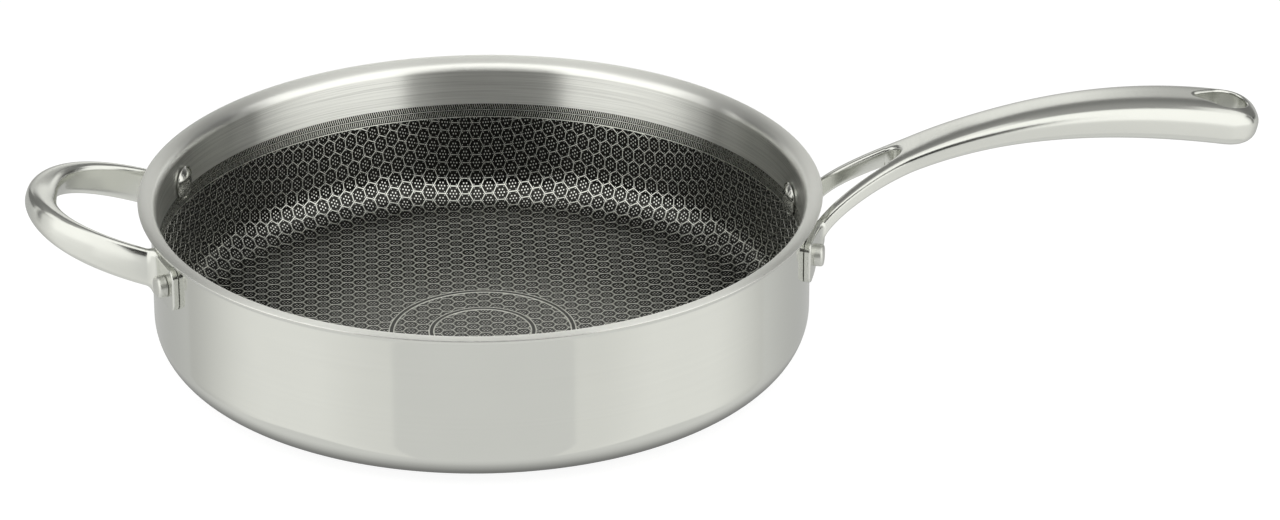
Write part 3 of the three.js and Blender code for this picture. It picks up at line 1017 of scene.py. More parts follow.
@dataclass
class LongHandle:
    """The forked cast handle with its feet and hanging hole."""

    rivets: list[RivetPlace]
    fit: WallFit
    rim_height: float
    foot_height: float = 18.4 * MM
    foot_end: float = 11.2 * MM
    reach: float = 190.6 * MM
    tip_rise: float = 22.9 * MM
    root_standoff: float = 2 * MM
    root_rise: float = 3.1 * MM
    root_lead: float = 12.2 * MM
    tip_lead_back: float = 112.3 * MM
    tip_lead_up: float = 23.1 * MM
    root_fade: float = 7 * MM
    prong_spread: float = 45.4 * MM
    prong_flare: float = 1.45
    prong_thickness: float = 6 * MM
    prong_depth: float = 6.9 * MM
    prong_squareness: float = 5
    slot_reach: float = 38.5 * MM
    waist_reach: float = 43 * MM
    waist_width: float = 22.8 * MM
    grip_reach: float = 172 * MM
    grip_width: float = 30.2 * MM
    grip_depth: float = 18.6 * MM
    grip_squareness: float = 3
    round_reach: float = 84 * MM
    end_length: float = 16 * MM
    end_roundness: float = 2.4
    hole_radius: float = 8.6 * MM
    hole_point_radius: float = 2.4 * MM
    hole_length: float = 22.8 * MM
    hole_land: float = 4.9 * MM
    slot_edge: float = 1.6 * MM
    hole_edge: float = 1.3 * MM
    mould_margin: float = 3 * MM
    pitch: float = 0.5 * MM

    def __post_init__(self) -> None:
        """Draws the centre line in the middle plane."""
        wall = self.fit.wall_radius
        tip = np.array([wall + self.reach, self.rim_height + self.tip_rise])
        root = np.array([wall + self.root_standoff, self.rivets[0].height + self.root_rise])
        controls = [root, root + [0, self.root_lead], tip + [-self.tip_lead_back, self.tip_lead_up], tip]
        share = np.linspace(0, 1, CentreLine.POINTS)[:, None]
        left = 1 - share
        weights = [left ** 3, 3 * share * left ** 2, 3 * share ** 2 * left, share ** 3]
        self.line = CentreLine(sum(weight * control for weight, control in zip(weights, controls)))

    def width(self, reach: Array) -> Array:
        """Gives the width across the handle.

        Args:
            reach: Distances from the wall.

        Returns:
            The widths there.
        """
        opening = np.clip(1 - np.maximum(reach, 0) / self.waist_reach, 0, 1) ** self.prong_flare
        body = lerp(self.waist_width, self.grip_width, smooth(reach, self.waist_reach, self.grip_reach))
        return body + (self.prong_spread - self.waist_width) * opening

    def distance(self, x: Array, y: Array, z: Array) -> Array:
        """Measures the distance to the handle's skin.

        Args:
            x: First coordinates of the points.
            y: Second coordinates.
            z: Heights.

        Returns:
            The signed distances.
        """
        along, rise = self.line.measured(x, z)
        centre_x = self.line.at(np.clip(along, 0, self.line.length))[0]
        reach = centre_x - self.fit.wall_radius
        half_width = self.width(reach) / 2
        half_depth = lerp(self.prong_depth, self.grip_depth, smooth(reach, 0, self.grip_reach)) / 2
        power = lerp(self.prong_squareness, self.grip_squareness, smooth(reach, 0, self.round_reach))
        level = rounded_sum(y / half_width, rise / half_depth, power)
        past_grip = np.maximum(along - self.line.length + self.end_length, 0) / self.end_length
        before_root = np.maximum(-along, 0) / self.root_fade
        over = np.maximum(past_grip, before_root)
        level = rounded_sum(level, over, self.end_roundness)
        body = (level - 1) * np.minimum(half_width, half_depth)
        body = blended_max(body, -self._slot(x, y), self.slot_edge)
        body = blended_max(body, -self._hole(x, y), self.hole_edge)
        leg = self.prong_spread / 2 - self.prong_thickness
        return self.fit.footed(body, (x, y, z), self.rivets, leg, self.foot_end, self.foot_height)

    def _slot(self, x: Array, y: Array) -> Array:
        """Measures the distance to the slot between the prongs.

        Args:
            x: First coordinates of the points.
            y: Second coordinates.

        Returns:
            The signed distances.
        """
        end_gap = self.width(np.array(self.slot_reach)) / 2 - self.prong_thickness
        end = self.slot_reach - end_gap
        reach = x - self.fit.wall_radius
        gap = self.width(reach) / 2 - self.prong_thickness
        return np.where(reach < end, np.abs(y) - gap, np.hypot(np.maximum(reach - end, 0), y) - end_gap)

    def _hole(self, x: Array, y: Array) -> Array:
        """Measures the distance to the hanging hole, round at the tip and narrow towards the pan.

        Args:
            x: First coordinates of the points.
            y: Second coordinates.

        Returns:
            The signed distances.
        """
        tip = self.fit.wall_radius + self.reach - self.hole_land
        wide, narrow = tip - self.hole_radius, tip - self.hole_length + self.hole_point_radius
        slope = (self.hole_radius - self.hole_point_radius) / (wide - narrow)
        lean = math.sqrt(1 - slope * slope)
        along = x - narrow + np.abs(y) * slope / lean
        share = np.clip(along / (wide - narrow), 0, 1)
        radius = lerp(self.hole_point_radius, self.hole_radius, share)
        return np.hypot(x - lerp(narrow, wide, share), y) - radius

    def skin(self) -> Surface:
        """Casts the handle.

        Returns:
            Its mesh.
        """
        low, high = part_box("long_handle")
        margin = Vector((1, 1, 1)) * self.mould_margin
        return Casting(self.distance, low - margin, high + margin, self.pitch).poured()


@dataclass
class HelperHandle:
    """The cast helper loop with its feet."""

    rivets: list[RivetPlace]
    fit: WallFit
    foot_height: float = 18.6 * MM
    foot_end: float = 8.6 * MM
    reach: float = 52 * MM
    spread: float = 79.4 * MM
    tilt: float = math.radians(17.9)
    root_rise: float = 0.6 * MM
    end_power: float = 2.5
    side_power: float = 2.23
    leg_thickness: float = 5 * MM
    leg_height: float = 16 * MM
    bar_width: float = 13.1 * MM
    bar_height: float = 10.4 * MM
    bar_blend: float = 0.8
    squareness: float = 2.8
    middle_easing: float = 0.15
    mould_side: float = 28 * MM
    mould_back: float = 16 * MM
    mould_height: float = 14 * MM
    pitch: float = 0.45 * MM

    def __post_init__(self) -> None:
        """Draws half of the loop's centre line, from the bar's middle to the wall and on into it."""
        root_distance = math.sqrt(self.fit.wall_radius ** 2 - (self.spread / 2) ** 2)
        self.root = Vector((-root_distance, 0, self.rivets[0].height + self.root_rise))
        level_reach = self.fit.wall_radius + self.reach - root_distance
        depth = level_reach / math.cos(self.tilt) - self.bar_width / 2
        turn = np.linspace(0, math.pi / 2, CentreLine.POINTS)
        along = depth * np.maximum(np.cos(turn), 0) ** (2 / self.end_power)
        aside = self.spread / 2 * np.sin(turn) ** (2 / self.side_power)
        self.line = CentreLine(np.column_stack([along, aside]))

    def distance(self, along: Array, aside: Array, up: Array) -> Array:
        """Measures the distance to the loop's skin in the loop's own tilted frame.

        Args:
            along: Distances of the points out from the root.
            aside: Distances from the middle plane.
            up: Distances above the loop's plane.

        Returns:
            The signed distances.
        """
        beside = np.abs(aside)
        run, across = self.line.measured(along, beside)
        offset = self.line.at(np.clip(run, 0, self.line.length))[1]
        share = np.clip(offset / (self.spread / 2), 0, 1)
        eased = np.sqrt(share * share + self.middle_easing ** 2) - self.middle_easing
        eased = eased / (math.sqrt(1 + self.middle_easing ** 2) - self.middle_easing)
        towards_bar = np.maximum(1 - eased, 0) ** self.bar_blend
        half_width = lerp(self.leg_thickness, self.bar_width, towards_bar) / 2
        half_height = lerp(self.leg_height, self.bar_height, towards_bar) / 2
        level = rounded_sum(across / half_width, up / half_height, self.squareness)
        body = (level - 1) * np.minimum(half_width, half_height)
        leg = self.spread / 2 - self.leg_thickness
        place = self.in_pan(along, aside, up)
        return self.fit.footed(body, place, self.rivets, leg, self.foot_end, self.foot_height)

    def in_pan(self, along: Array, aside: Array, up: Array) -> Place:
        """Returns points of the loop's own frame in the pan's frame."""
        level, slope = math.cos(self.tilt), math.sin(self.tilt)
        return self.root.x - along * level + up * slope, aside, self.root.z + along * slope + up * level

    def skin(self) -> Surface:
        """Casts the loop in its own frame and tilts it into place.

        Returns:
            Its mesh.
        """
        half = self.spread / 2 + self.mould_side
        low = Vector((-self.mould_back, -half, -self.mould_height))
        high = Vector((self.line.points[0, 0] + self.bar_width, half, self.mould_height))
        skin = Casting(self.distance, low, high, self.pitch).poured()
        points = np.column_stack(self.in_pan(*skin.points.T))
        normals = np.column_stack(self.in_pan(*skin.normals.T)) - np.array(self.root)
        return Surface(points, [tuple(reversed(face)) for face in skin.faces], normals=normals)


@dataclass
class Rivets:
    """Rivets through the wall: a low dome inside, an upset head with a rounded edge outside."""

    places: list[RivetPlace]
    fit: WallFit
    inner_wall: float
    shank_radius: float = 3 * MM
    inner_head_radius: float = 7.4 * MM
    inner_head_rise: float = 3 * MM
    outer_head_radius: float = 4.75 * MM
    outer_head_rise: float = 4.0 * MM
    outer_rounding: float = 1.3 * MM
    inner_rounding: float = 0.5 * MM
    seat_bevel: float = 0.3 * MM
    crown_rise: float = 0.25 * MM
    crown_slope: float = 0.08
    dome_steps: int = 14
    inner_steps: int = 6
    outer_steps: int = 8
    sides: int = 64

    def profile(self) -> Array:
        """Draws a rivet's profile, from the crown of its dome to the crown of its outer head.

        Returns:
            Rows of distance from the rivet's axis and distance from the pan's axis.
        """
        seat = math.sqrt(self.inner_wall ** 2 - self.inner_head_radius ** 2) - self.fit.seat_gap
        under = self.fit.inside + self.fit.foot_thickness + self.fit.seat_gap
        top = under + self.outer_head_rise
        rise = self.inner_head_rise
        dome = (self.inner_head_radius ** 2 + rise ** 2) / (2 * rise)
        reach = math.asin((self.inner_head_radius - self.inner_rounding / 2) / dome)
        rounding = self.outer_rounding
        return np.vstack([
            arc((0, seat - rise + dome), dome, -math.pi / 2, -math.pi / 2 + reach, self.dome_steps),
            arc(
                (self.inner_head_radius - self.inner_rounding, seat - self.inner_rounding),
                self.inner_rounding, -math.pi / 4, math.pi / 2, self.inner_steps,
            ),
            [self.shank_radius, seat],
            [self.shank_radius, under],
            [self.outer_head_radius - self.seat_bevel, under],
            [self.outer_head_radius, under + self.seat_bevel],
            arc(
                (self.outer_head_radius - rounding, top - rounding),
                rounding, 0, math.pi / 2 - self.crown_slope, self.outer_steps,
            ),
            [0, top + self.crown_rise],
        ])

    def skin(self, place: RivetPlace) -> Surface:
        """Turns one rivet and sets it in its place.

        Args:
            place: Where it goes through the wall.

        Returns:
            Its mesh.
        """
        profile = self.profile()
        profile[0, 0] = 0
        body = turned(profile, self.sides)
        across, up, out = body.points.T
        cosine, sine = math.cos(place.angle), math.sin(place.angle)
        x, y = out * cosine - across * sine, out * sine + across * cosine
        points = np.column_stack([x, y, up + place.height])
        return Surface(points, [tuple(reversed(face)) for face in body.faces])


@dataclass(frozen=True)
class Socket:
    """A node's output that can be used in arithmetic."""

    nodes: "Nodes"
    link: bpy.types.NodeSocket

    def __add__(self, other: "Input") -> "Socket":
        """Returns the sum."""
        return self.nodes.math("ADD", self, other)

    def __radd__(self, other: "Input") -> "Socket":
        """Returns the sum."""
        return self.nodes.math("ADD", other, self)

    def __sub__(self, other: "Input") -> "Socket":
        """Returns the difference."""
        return self.nodes.math("SUBTRACT", self, other)

    def __rsub__(self, other: "Input") -> "Socket":
        """Returns the difference from another value."""
        return self.nodes.math("SUBTRACT", other, self)

    def __mul__(self, other: "Input") -> "Socket":
        """Returns the product."""
        return self.nodes.math("MULTIPLY", self, other)

    def __rmul__(self, other: "Input") -> "Socket":
        """Returns the product."""
        return self.nodes.math("MULTIPLY", other, self)

    def __truediv__(self, other: "Input") -> "Socket":
        """Returns the quotient."""
        return self.nodes.math("DIVIDE", self, other)

    def __rtruediv__(self, other: "Input") -> "Socket":
        """Returns another value divided by this one."""
        return self.nodes.math("DIVIDE", other, self)

    def __abs__(self) -> "Socket":
        """Returns the size without the sign."""
        return self.nodes.math("ABSOLUTE", self)

    def swing(self, width: float) -> "Socket":
        """Returns a share from 0 to 1 as a change of a given width about zero."""
        return (self - 0.5) * width

    def eased(self, low: float, high: float) -> "Socket":
        """Eases from one limit to another.

        Args:
            low: Value that gives 0, which may be the larger one.
            high: Value that gives 1.

        Returns:
            The share.
        """
        ends = {"From Min": min(low, high), "From Max": max(low, high)}
        rising = self.nodes.add("MapRange", {"interpolation_type": "SMOOTHSTEP"}, {"Value": self, **ends})
        return rising if low < high else 1 - rising


Input = Socket | float | tuple[float, ...]
Number = Array | float | Socket
Colour = tuple[float, float, float]


class Nodes:
    """A node tree that is written as expressions."""

    LEANING_FACES = (0.4, 0.75)

    def __init__(self, tree: bpy.types.NodeTree) -> None:
        """Starts with an empty tree."""
        tree.nodes.clear()
        self.tree = tree

    def add(
        self, kind: str, settings: dict[str, object], inputs: dict[str | int, Input], output: str | int = 0
    ) -> Socket:
        """Adds a node.

        Args:
            kind: Type of the node, without its prefix.
            settings: Properties, which are set first.
            inputs: Values or links by the name or number of the input.
            output: Name or number of the output that is handed back.

        Returns:
            The output.
        """
        node = self.tree.nodes.new("ShaderNode" + kind)
        for name, value in settings.items():
            setattr(node, name, value)
        for name, value in inputs.items():
            if isinstance(value, Socket):
                self.tree.links.new(value.link, node.inputs[name])
            else:
                node.inputs[name].default_value = value
        return Socket(self, node.outputs[output])

    def math(self, operation: str, *operands: Input) -> Socket:
        """Returns the result of a sum on numbers."""
        return self.add("Math", {"operation": operation}, dict(enumerate(operands)))

    def vector(self, operation: str, *operands: Input) -> Socket:
        """Returns the result of a sum on vectors."""
        output = "Value" if operation == "LENGTH" else "Vector"
        return self.add("VectorMath", {"operation": operation}, dict(enumerate(operands)), output)

    def parts(self, vector: Socket) -> tuple[Socket, Socket, Socket]:
        """Takes a vector apart.

        Args:
            vector: The vector.

        Returns:
            Its three parts.
        """
        x = self.add("SeparateXYZ", {}, {"Vector": vector})
        outputs = x.link.node.outputs
        return x, Socket(self, outputs[1]), Socket(self, outputs[2])

    def whole(self, x: Input, y: Input, z: Input) -> Socket:
        """Returns a vector from its three parts."""
        return self.add("CombineXYZ", {}, {"X": x, "Y": y, "Z": z})

    def blend(self, first: Input, second: Input, share: Input) -> Socket:
        """Returns a colour between two others."""
        return self.mix(Mixture.COLOURS, self._opaque(first), self._opaque(second), share)

    def mix(self, kind: Mixture, first: Input, second: Input, share: Input) -> Socket:
        """Returns a colour or a vector between two others."""
        data_type, one, two, output = kind.value
        return self.add("Mix", {"data_type": data_type}, {"Factor": share, one: first, two: second}, output)

    def noise(self, place: Socket, scale: float, detail: float = 2.0) -> Socket:
        """Returns smooth noise from 0 to 1."""
        return self.add("TexNoise", {}, {"Vector": place, "Scale": scale, "Detail": detail})

    def place(self) -> Socket:
        """Returns the place on the object."""
        return self.add("TexCoord", {}, {}, "Object")

    def flat(self) -> Socket:
        """Returns the place on the flat blank."""
        return self.add("UVMap", {"uv_map": BLANK_MAP}, {})

    def from_axis(self, place: Socket) -> Socket:
        """Returns the distance of places from the pan's axis."""
        return self.vector("LENGTH", self.vector("MULTIPLY", place, (1.0, 1.0, 0.0)))

    def bump(self, height: Socket, strength: float, depth: float, normal: Socket | None = None) -> Socket:
        """Returns the normal over a height, from the surface's own normal or another one."""
        base = {} if normal is None else {"Normal": normal}
        return self.add("Bump", {}, {"Strength": strength, "Distance": depth, "Height": height, **base})

    def leaning(self, lean: Input) -> Socket:
        """Turns the normal of upright faces at the front and back upwards, as the lay of the brushing does.

        Args:
            lean: How far it turns.

        Returns:
            The normal.
        """
        normal = self.add("NewGeometry", {}, {}, "Normal")
        _, back, up = self.parts(normal)
        upright = (1 - abs(up)) * abs(back).eased(*self.LEANING_FACES)
        return self.vector("NORMALIZE", self.vector("ADD", normal, self.whole(0.0, 0.0, upright * lean)))

    def surface(self, inputs: dict[str | int, Input]) -> None:
        """Ends the tree with one surface of these inputs."""
        self.end(self.add("BsdfPrincipled", {}, inputs))

    def end(self, surface: Socket, kind: str = "OutputMaterial") -> None:
        """Ends the tree at its output."""
        node = self.tree.nodes.new("ShaderNode" + kind)
        self.tree.links.new(surface.link, node.inputs["Surface"])

    @staticmethod
    def _opaque(colour: Input) -> Input:
        """Returns a colour with its alpha, where it is written as three numbers."""
        return (*colour, 1.0) if isinstance(colour, tuple) else colour


def material_nodes(name: str) -> tuple[bpy.types.Material, Nodes]:
    """Starts a material.

    Args:
        name: Its name.

    Returns:
        The material and its empty tree.
    """
    material = bpy.data.materials.new(name)
    material.use_nodes = True
    return material, Nodes(material.node_tree)


@dataclass(frozen=True)
class PolishedSteel:
    """Steel with a near mirror finish that shows faint turning lines."""

    name: str
    light: Colour = (0.735, 0.742, 0.705)
    dark: Colour = (0.69, 0.697, 0.663)
    roughness: float = 0.1
    roughness_range: float = 0.05
    cloud_scale: float = 35.0
    cloud_share: float = 0.6
    line_scale: float = 900.0
    line_drift: float = 8.0

    def build(self) -> bpy.types.Material:
        """Makes the finish.

        Returns:
            The material.
        """
        material, nodes = material_nodes(self.name)
        place = nodes.place()
        clouds = nodes.noise(place, self.cloud_scale)
        x, _, z = nodes.parts(place)
        radius = nodes.from_axis(place)
        turning = nodes.whole(radius * self.line_scale, z * self.line_scale, x * self.line_drift)
        lines = nodes.noise(turning, 1.0, 1.0)
        nodes.surface({
            "Base Color": nodes.blend(self.light, self.dark, lerp(lines, clouds, self.cloud_share)),
            "Metallic": 1.0,
            "Roughness": self.roughness + ((clouds + lines) / 2).swing(self.roughness_range),
        })
        return material


@dataclass(frozen=True)
class BrushedSteel:
    """Steel brushed round the pan's axis, with a painted highlight on the rolled rim."""

    name: str
    light: Colour = (0.88, 0.885, 0.85)
    dark: Colour = (0.64, 0.645, 0.615)
    roughness: float = 0.29
    roughness_range: float = 0.08
    anisotropy: float = 0.9
    anisotropy_turn: float = 0.25
    streak_scale: float = 5200.0
    streak_run: float = 26.0
    streak_detail: float = 3.0
    streak_share: float = 0.65
    band_ratio: float = 6.0
    band_run: float = 9.0
    wear_limits: tuple[float, float] = (0.35, 0.7)
    bump: float = 0.08
    bump_depth: float = 0.02 * MM
    lean: float = 0.3
    # Painted highlight: from these heights up, the rim's base colour turns lighter, standing in for the
    # light that the rolled rim catches.
    rim_highlight_limits: tuple[float, float] = (64.5 * MM, 65.5 * MM)
    crown_limits: tuple[float, float] = (67.5 * MM, 69 * MM)
    rim_roughness: float = 0.55
    rim_painted_highlight: Colour = (0.98, 0.985, 0.95)

    def build(self) -> bpy.types.Material:
        """Makes the finish.

        Returns:
            The material.
        """
        material, nodes = material_nodes(self.name)
        x, y, z = nodes.parts(nodes.place())
        crown = z.eased(*self.crown_limits)
        reach = nodes.vector("LENGTH", nodes.flat())
        fine = nodes.whole(x * self.streak_run, y * self.streak_run, reach * self.streak_scale)
        band_scale = self.streak_scale / self.band_ratio
        wide = nodes.whole(x * self.band_run, y * self.band_run, reach * band_scale)
        streaks = nodes.noise(fine, 1.0, self.streak_detail)
        wear = lerp(nodes.noise(wide, 1.0, 1.0), streaks, self.streak_share)
        wall = nodes.blend(self.light, self.dark, wear.eased(*self.wear_limits))
        nodes.surface({
            # Painted highlight: the rim gets a lighter base colour than the wall.
            "Base Color": nodes.blend(wall, self.rim_painted_highlight, z.eased(*self.rim_highlight_limits)),
            "Metallic": 1.0,
            "Roughness": lerp(self.roughness, self.rim_roughness, crown) + wear.swing(self.roughness_range),
            "Anisotropic": self.anisotropy,
            "Anisotropic Rotation": self.anisotropy_turn,
            "Normal": nodes.bump(streaks, self.bump, self.bump_depth, nodes.leaning(self.lean)),
        })
        return material


@dataclass(frozen=True)
class DarkCoating:
    """Dark sprayed coating with groups of bare steel dots, one group to each honeycomb cell."""

    name: str
    cell_edge: float
    cell_offset: tuple[float, float]
    pattern_reach: float
    light: Colour = (0.004, 0.0041, 0.0038)
    dark: Colour = (0.0015, 0.0016, 0.0014)
    steel: Colour = (0.85, 0.855, 0.82)
    specular: float = 0.35
    specular_tint: Colour = (1.0, 1.0, 0.92)
    grain_scale: float = 2600.0
    cloud_scale: float = 45.0
    bump: float = 0.15
    bump_depth: float = 0.01 * MM
    roughness: float = 0.18
    roughness_range: float = 0.08
    dot_roughness: float = 0.3
    floor_dot_roughness: float = 0.44
    floor_edge: tuple[float, float] = (108 * MM, 124 * MM)
    dot_spacing: float = 1.39 * MM
    dot_radius: float = 0.31 * MM
    outer_dot_radius: float = 0.2 * MM
    dot_blur: float = 0.06 * MM
    dot_lean: float = 0.24
    outer_dots_from: float = 1.5
    corner_dots_at: float = math.sqrt(3)
    corner_dots_margin: float = 0.2
    group_reach: float = 2.2

    def build(self) -> bpy.types.Material:
        """Makes the finish.

        Returns:
            The material.
        """
        material, nodes = material_nodes(self.name)
        place = nodes.place()
        grain = nodes.noise(place, self.grain_scale)
        clouds = nodes.noise(place, self.cloud_scale)
        dots = self._dots(nodes)
        wall = nodes.from_axis(place).eased(*self.floor_edge)
        dot_roughness = lerp(self.floor_dot_roughness, self.dot_roughness, wall)
        coating = nodes.blend(self.light, self.dark, (grain + clouds) / 2)
        nodes.surface({
            "Base Color": nodes.blend(coating, self.steel, dots),
            "Metallic": dots,
            "Roughness": lerp(self.roughness, dot_roughness, dots) + grain.swing(self.roughness_range),
            "Specular IOR Level": self.specular,
            "Specular Tint": (*self.specular_tint, 1.0),
            "Normal": nodes.bump(grain, self.bump, self.bump_depth, nodes.leaning(self.dot_lean * dots)),
        })
        return material

    def _dots(self, nodes: Nodes) -> Socket:
        """Draws the groups of dots, measured in spacings of the dots from the middle of their cell.

        Args:
            nodes: The tree.

        Returns:
            1 on a dot and 0 off it.
        """
        flat = nodes.flat()
        placed = nodes.vector("SUBTRACT", flat, (*self.cell_offset, 0.0))
        cell = self._nearest(nodes, placed, 3 * self.cell_edge, math.sqrt(3) * self.cell_edge)
        dot = self._nearest(nodes, cell, self.dot_spacing, math.sqrt(3) * self.dot_spacing)
        reach = nodes.vector("LENGTH", nodes.vector("SUBTRACT", cell, dot)) / self.dot_spacing
        outer = nodes.math("GREATER_THAN", reach, self.outer_dots_from)
        edge = lerp(self.dot_radius, self.outer_dot_radius, outer)
        spot = (edge - nodes.vector("LENGTH", dot)).eased(-self.dot_blur, self.dot_blur)
        corner = nodes.math("COMPARE", reach, self.corner_dots_at, self.corner_dots_margin)
        grouped = spot * (1 - corner) * nodes.math("LESS_THAN", reach, self.group_reach)
        return grouped * nodes.math("LESS_THAN", nodes.vector("LENGTH", flat), self.pattern_reach)

    @staticmethod
    def _nearest(nodes: Nodes, place: Socket, width: float, height: float) -> Socket:
        """Gives places relative to the nearest point of a lattice of two interleaved grids.

        Args:
            nodes: The tree.
            place: The places.
            width: Period along X.
            height: Period along Y.

        Returns:
            The relative places.
        """
        half = (width / 2, height / 2, 1.0)
        below = tuple(-part for part in half)
        first = nodes.vector("WRAP", place, half, below)
        second = nodes.vector("WRAP", nodes.vector("ADD", place, (half[0], half[1], 0.0)), half, below)
        closer = nodes.math("LESS_THAN", nodes.vector("LENGTH", second), nodes.vector("LENGTH", first))
        return nodes.mix(Mixture.VECTORS, first, second, closer)


@dataclass(frozen=True)
class SatinSteel:
    """Bare steel with an even satin finish."""

    name: str
    light: Colour = (0.7, 0.706, 0.664)
    dark: Colour = (0.5, 0.505, 0.475)
    roughness: float = 0.28
    roughness_range: float = 0.1
    grain_scale: float = 1500.0
    cloud_scale: float = 60.0
    bump: float = 0.1
    bump_depth: float = 0.02 * MM
    lean: float = 0.0
    outer_radius: float = 141 * MM
    outer_roughness: float = 0.4
    outer_fade: float = 1 * MM

    def build(self) -> bpy.types.Material:
        """Makes the finish.

        Returns:
            The material.
        """
        material, nodes = material_nodes(self.name)
        place = nodes.place()
        grain = nodes.noise(place, self.grain_scale)
        clouds = nodes.noise(place, self.cloud_scale)
        outside = nodes.from_axis(place).eased(self.outer_radius, self.outer_radius + self.outer_fade)
        roughness = lerp(self.roughness, self.outer_roughness, outside)
        nodes.surface({
            "Base Color": nodes.blend(self.light, self.dark, (grain + clouds) / 2),
            "Metallic": 1.0,
            "Roughness": roughness + grain.swing(self.roughness_range),
            "Normal": nodes.bump(grain, self.bump, self.bump_depth, nodes.leaning(self.lean)),
        })
        return material


@dataclass(frozen=True)
class RolledAluminium:
    """Dull aluminium sheet with fine rolling lines."""

    name: str
    light: Colour = (0.72, 0.725, 0.73)
    dark: Colour = (0.52, 0.525, 0.53)
    roughness: float = 0.42
    roughness_range: float = 0.12
    line_scale: float = 2400.0
    line_run: float = 20.0
    bump: float = 0.1
    bump_depth: float = 0.01 * MM

    def build(self) -> bpy.types.Material:
        """Makes the finish.

        Returns:
            The material.
        """
        material, nodes = material_nodes(self.name)
        x, y, z = nodes.parts(nodes.place())
        rolled = nodes.whole(x * self.line_run, y * self.line_scale, z * self.line_scale)
        lines = nodes.noise(rolled, 1.0)
        nodes.surface({
            "Base Color": nodes.blend(self.light, self.dark, lines),
            "Metallic": 1.0,
            "Roughness": self.roughness + lines.swing(self.roughness_range),
            "Normal": nodes.bump(lines, self.bump, self.bump_depth),
        })
        return material


@dataclass(frozen=True)
class Card:
    """A standing light card, given by its path over the floor from one end to the other."""

    name: str
    path: tuple[tuple[float, float], ...]
    low: float
    high: float
    strength: float


@dataclass(frozen=True)
class Fade:
    """An amount that eases in between two limits."""

    amount: float
    start: float
    end: float

    def at(self, value: Socket) -> Socket:
        """Returns the amount at a value."""
        return self.amount * value.eased(self.start, self.end)


@dataclass(frozen=True)
class Tone:
    """A colour of the room that takes over as a part of the direction goes from one value to another."""

    colour: Colour
    start: float
    end: float

    def over(self, base: Input, part: Socket) -> Socket:
        """Returns another colour that gives way to this one."""
        return part.nodes.blend(base, self.colour, part.eased(self.start, self.end))


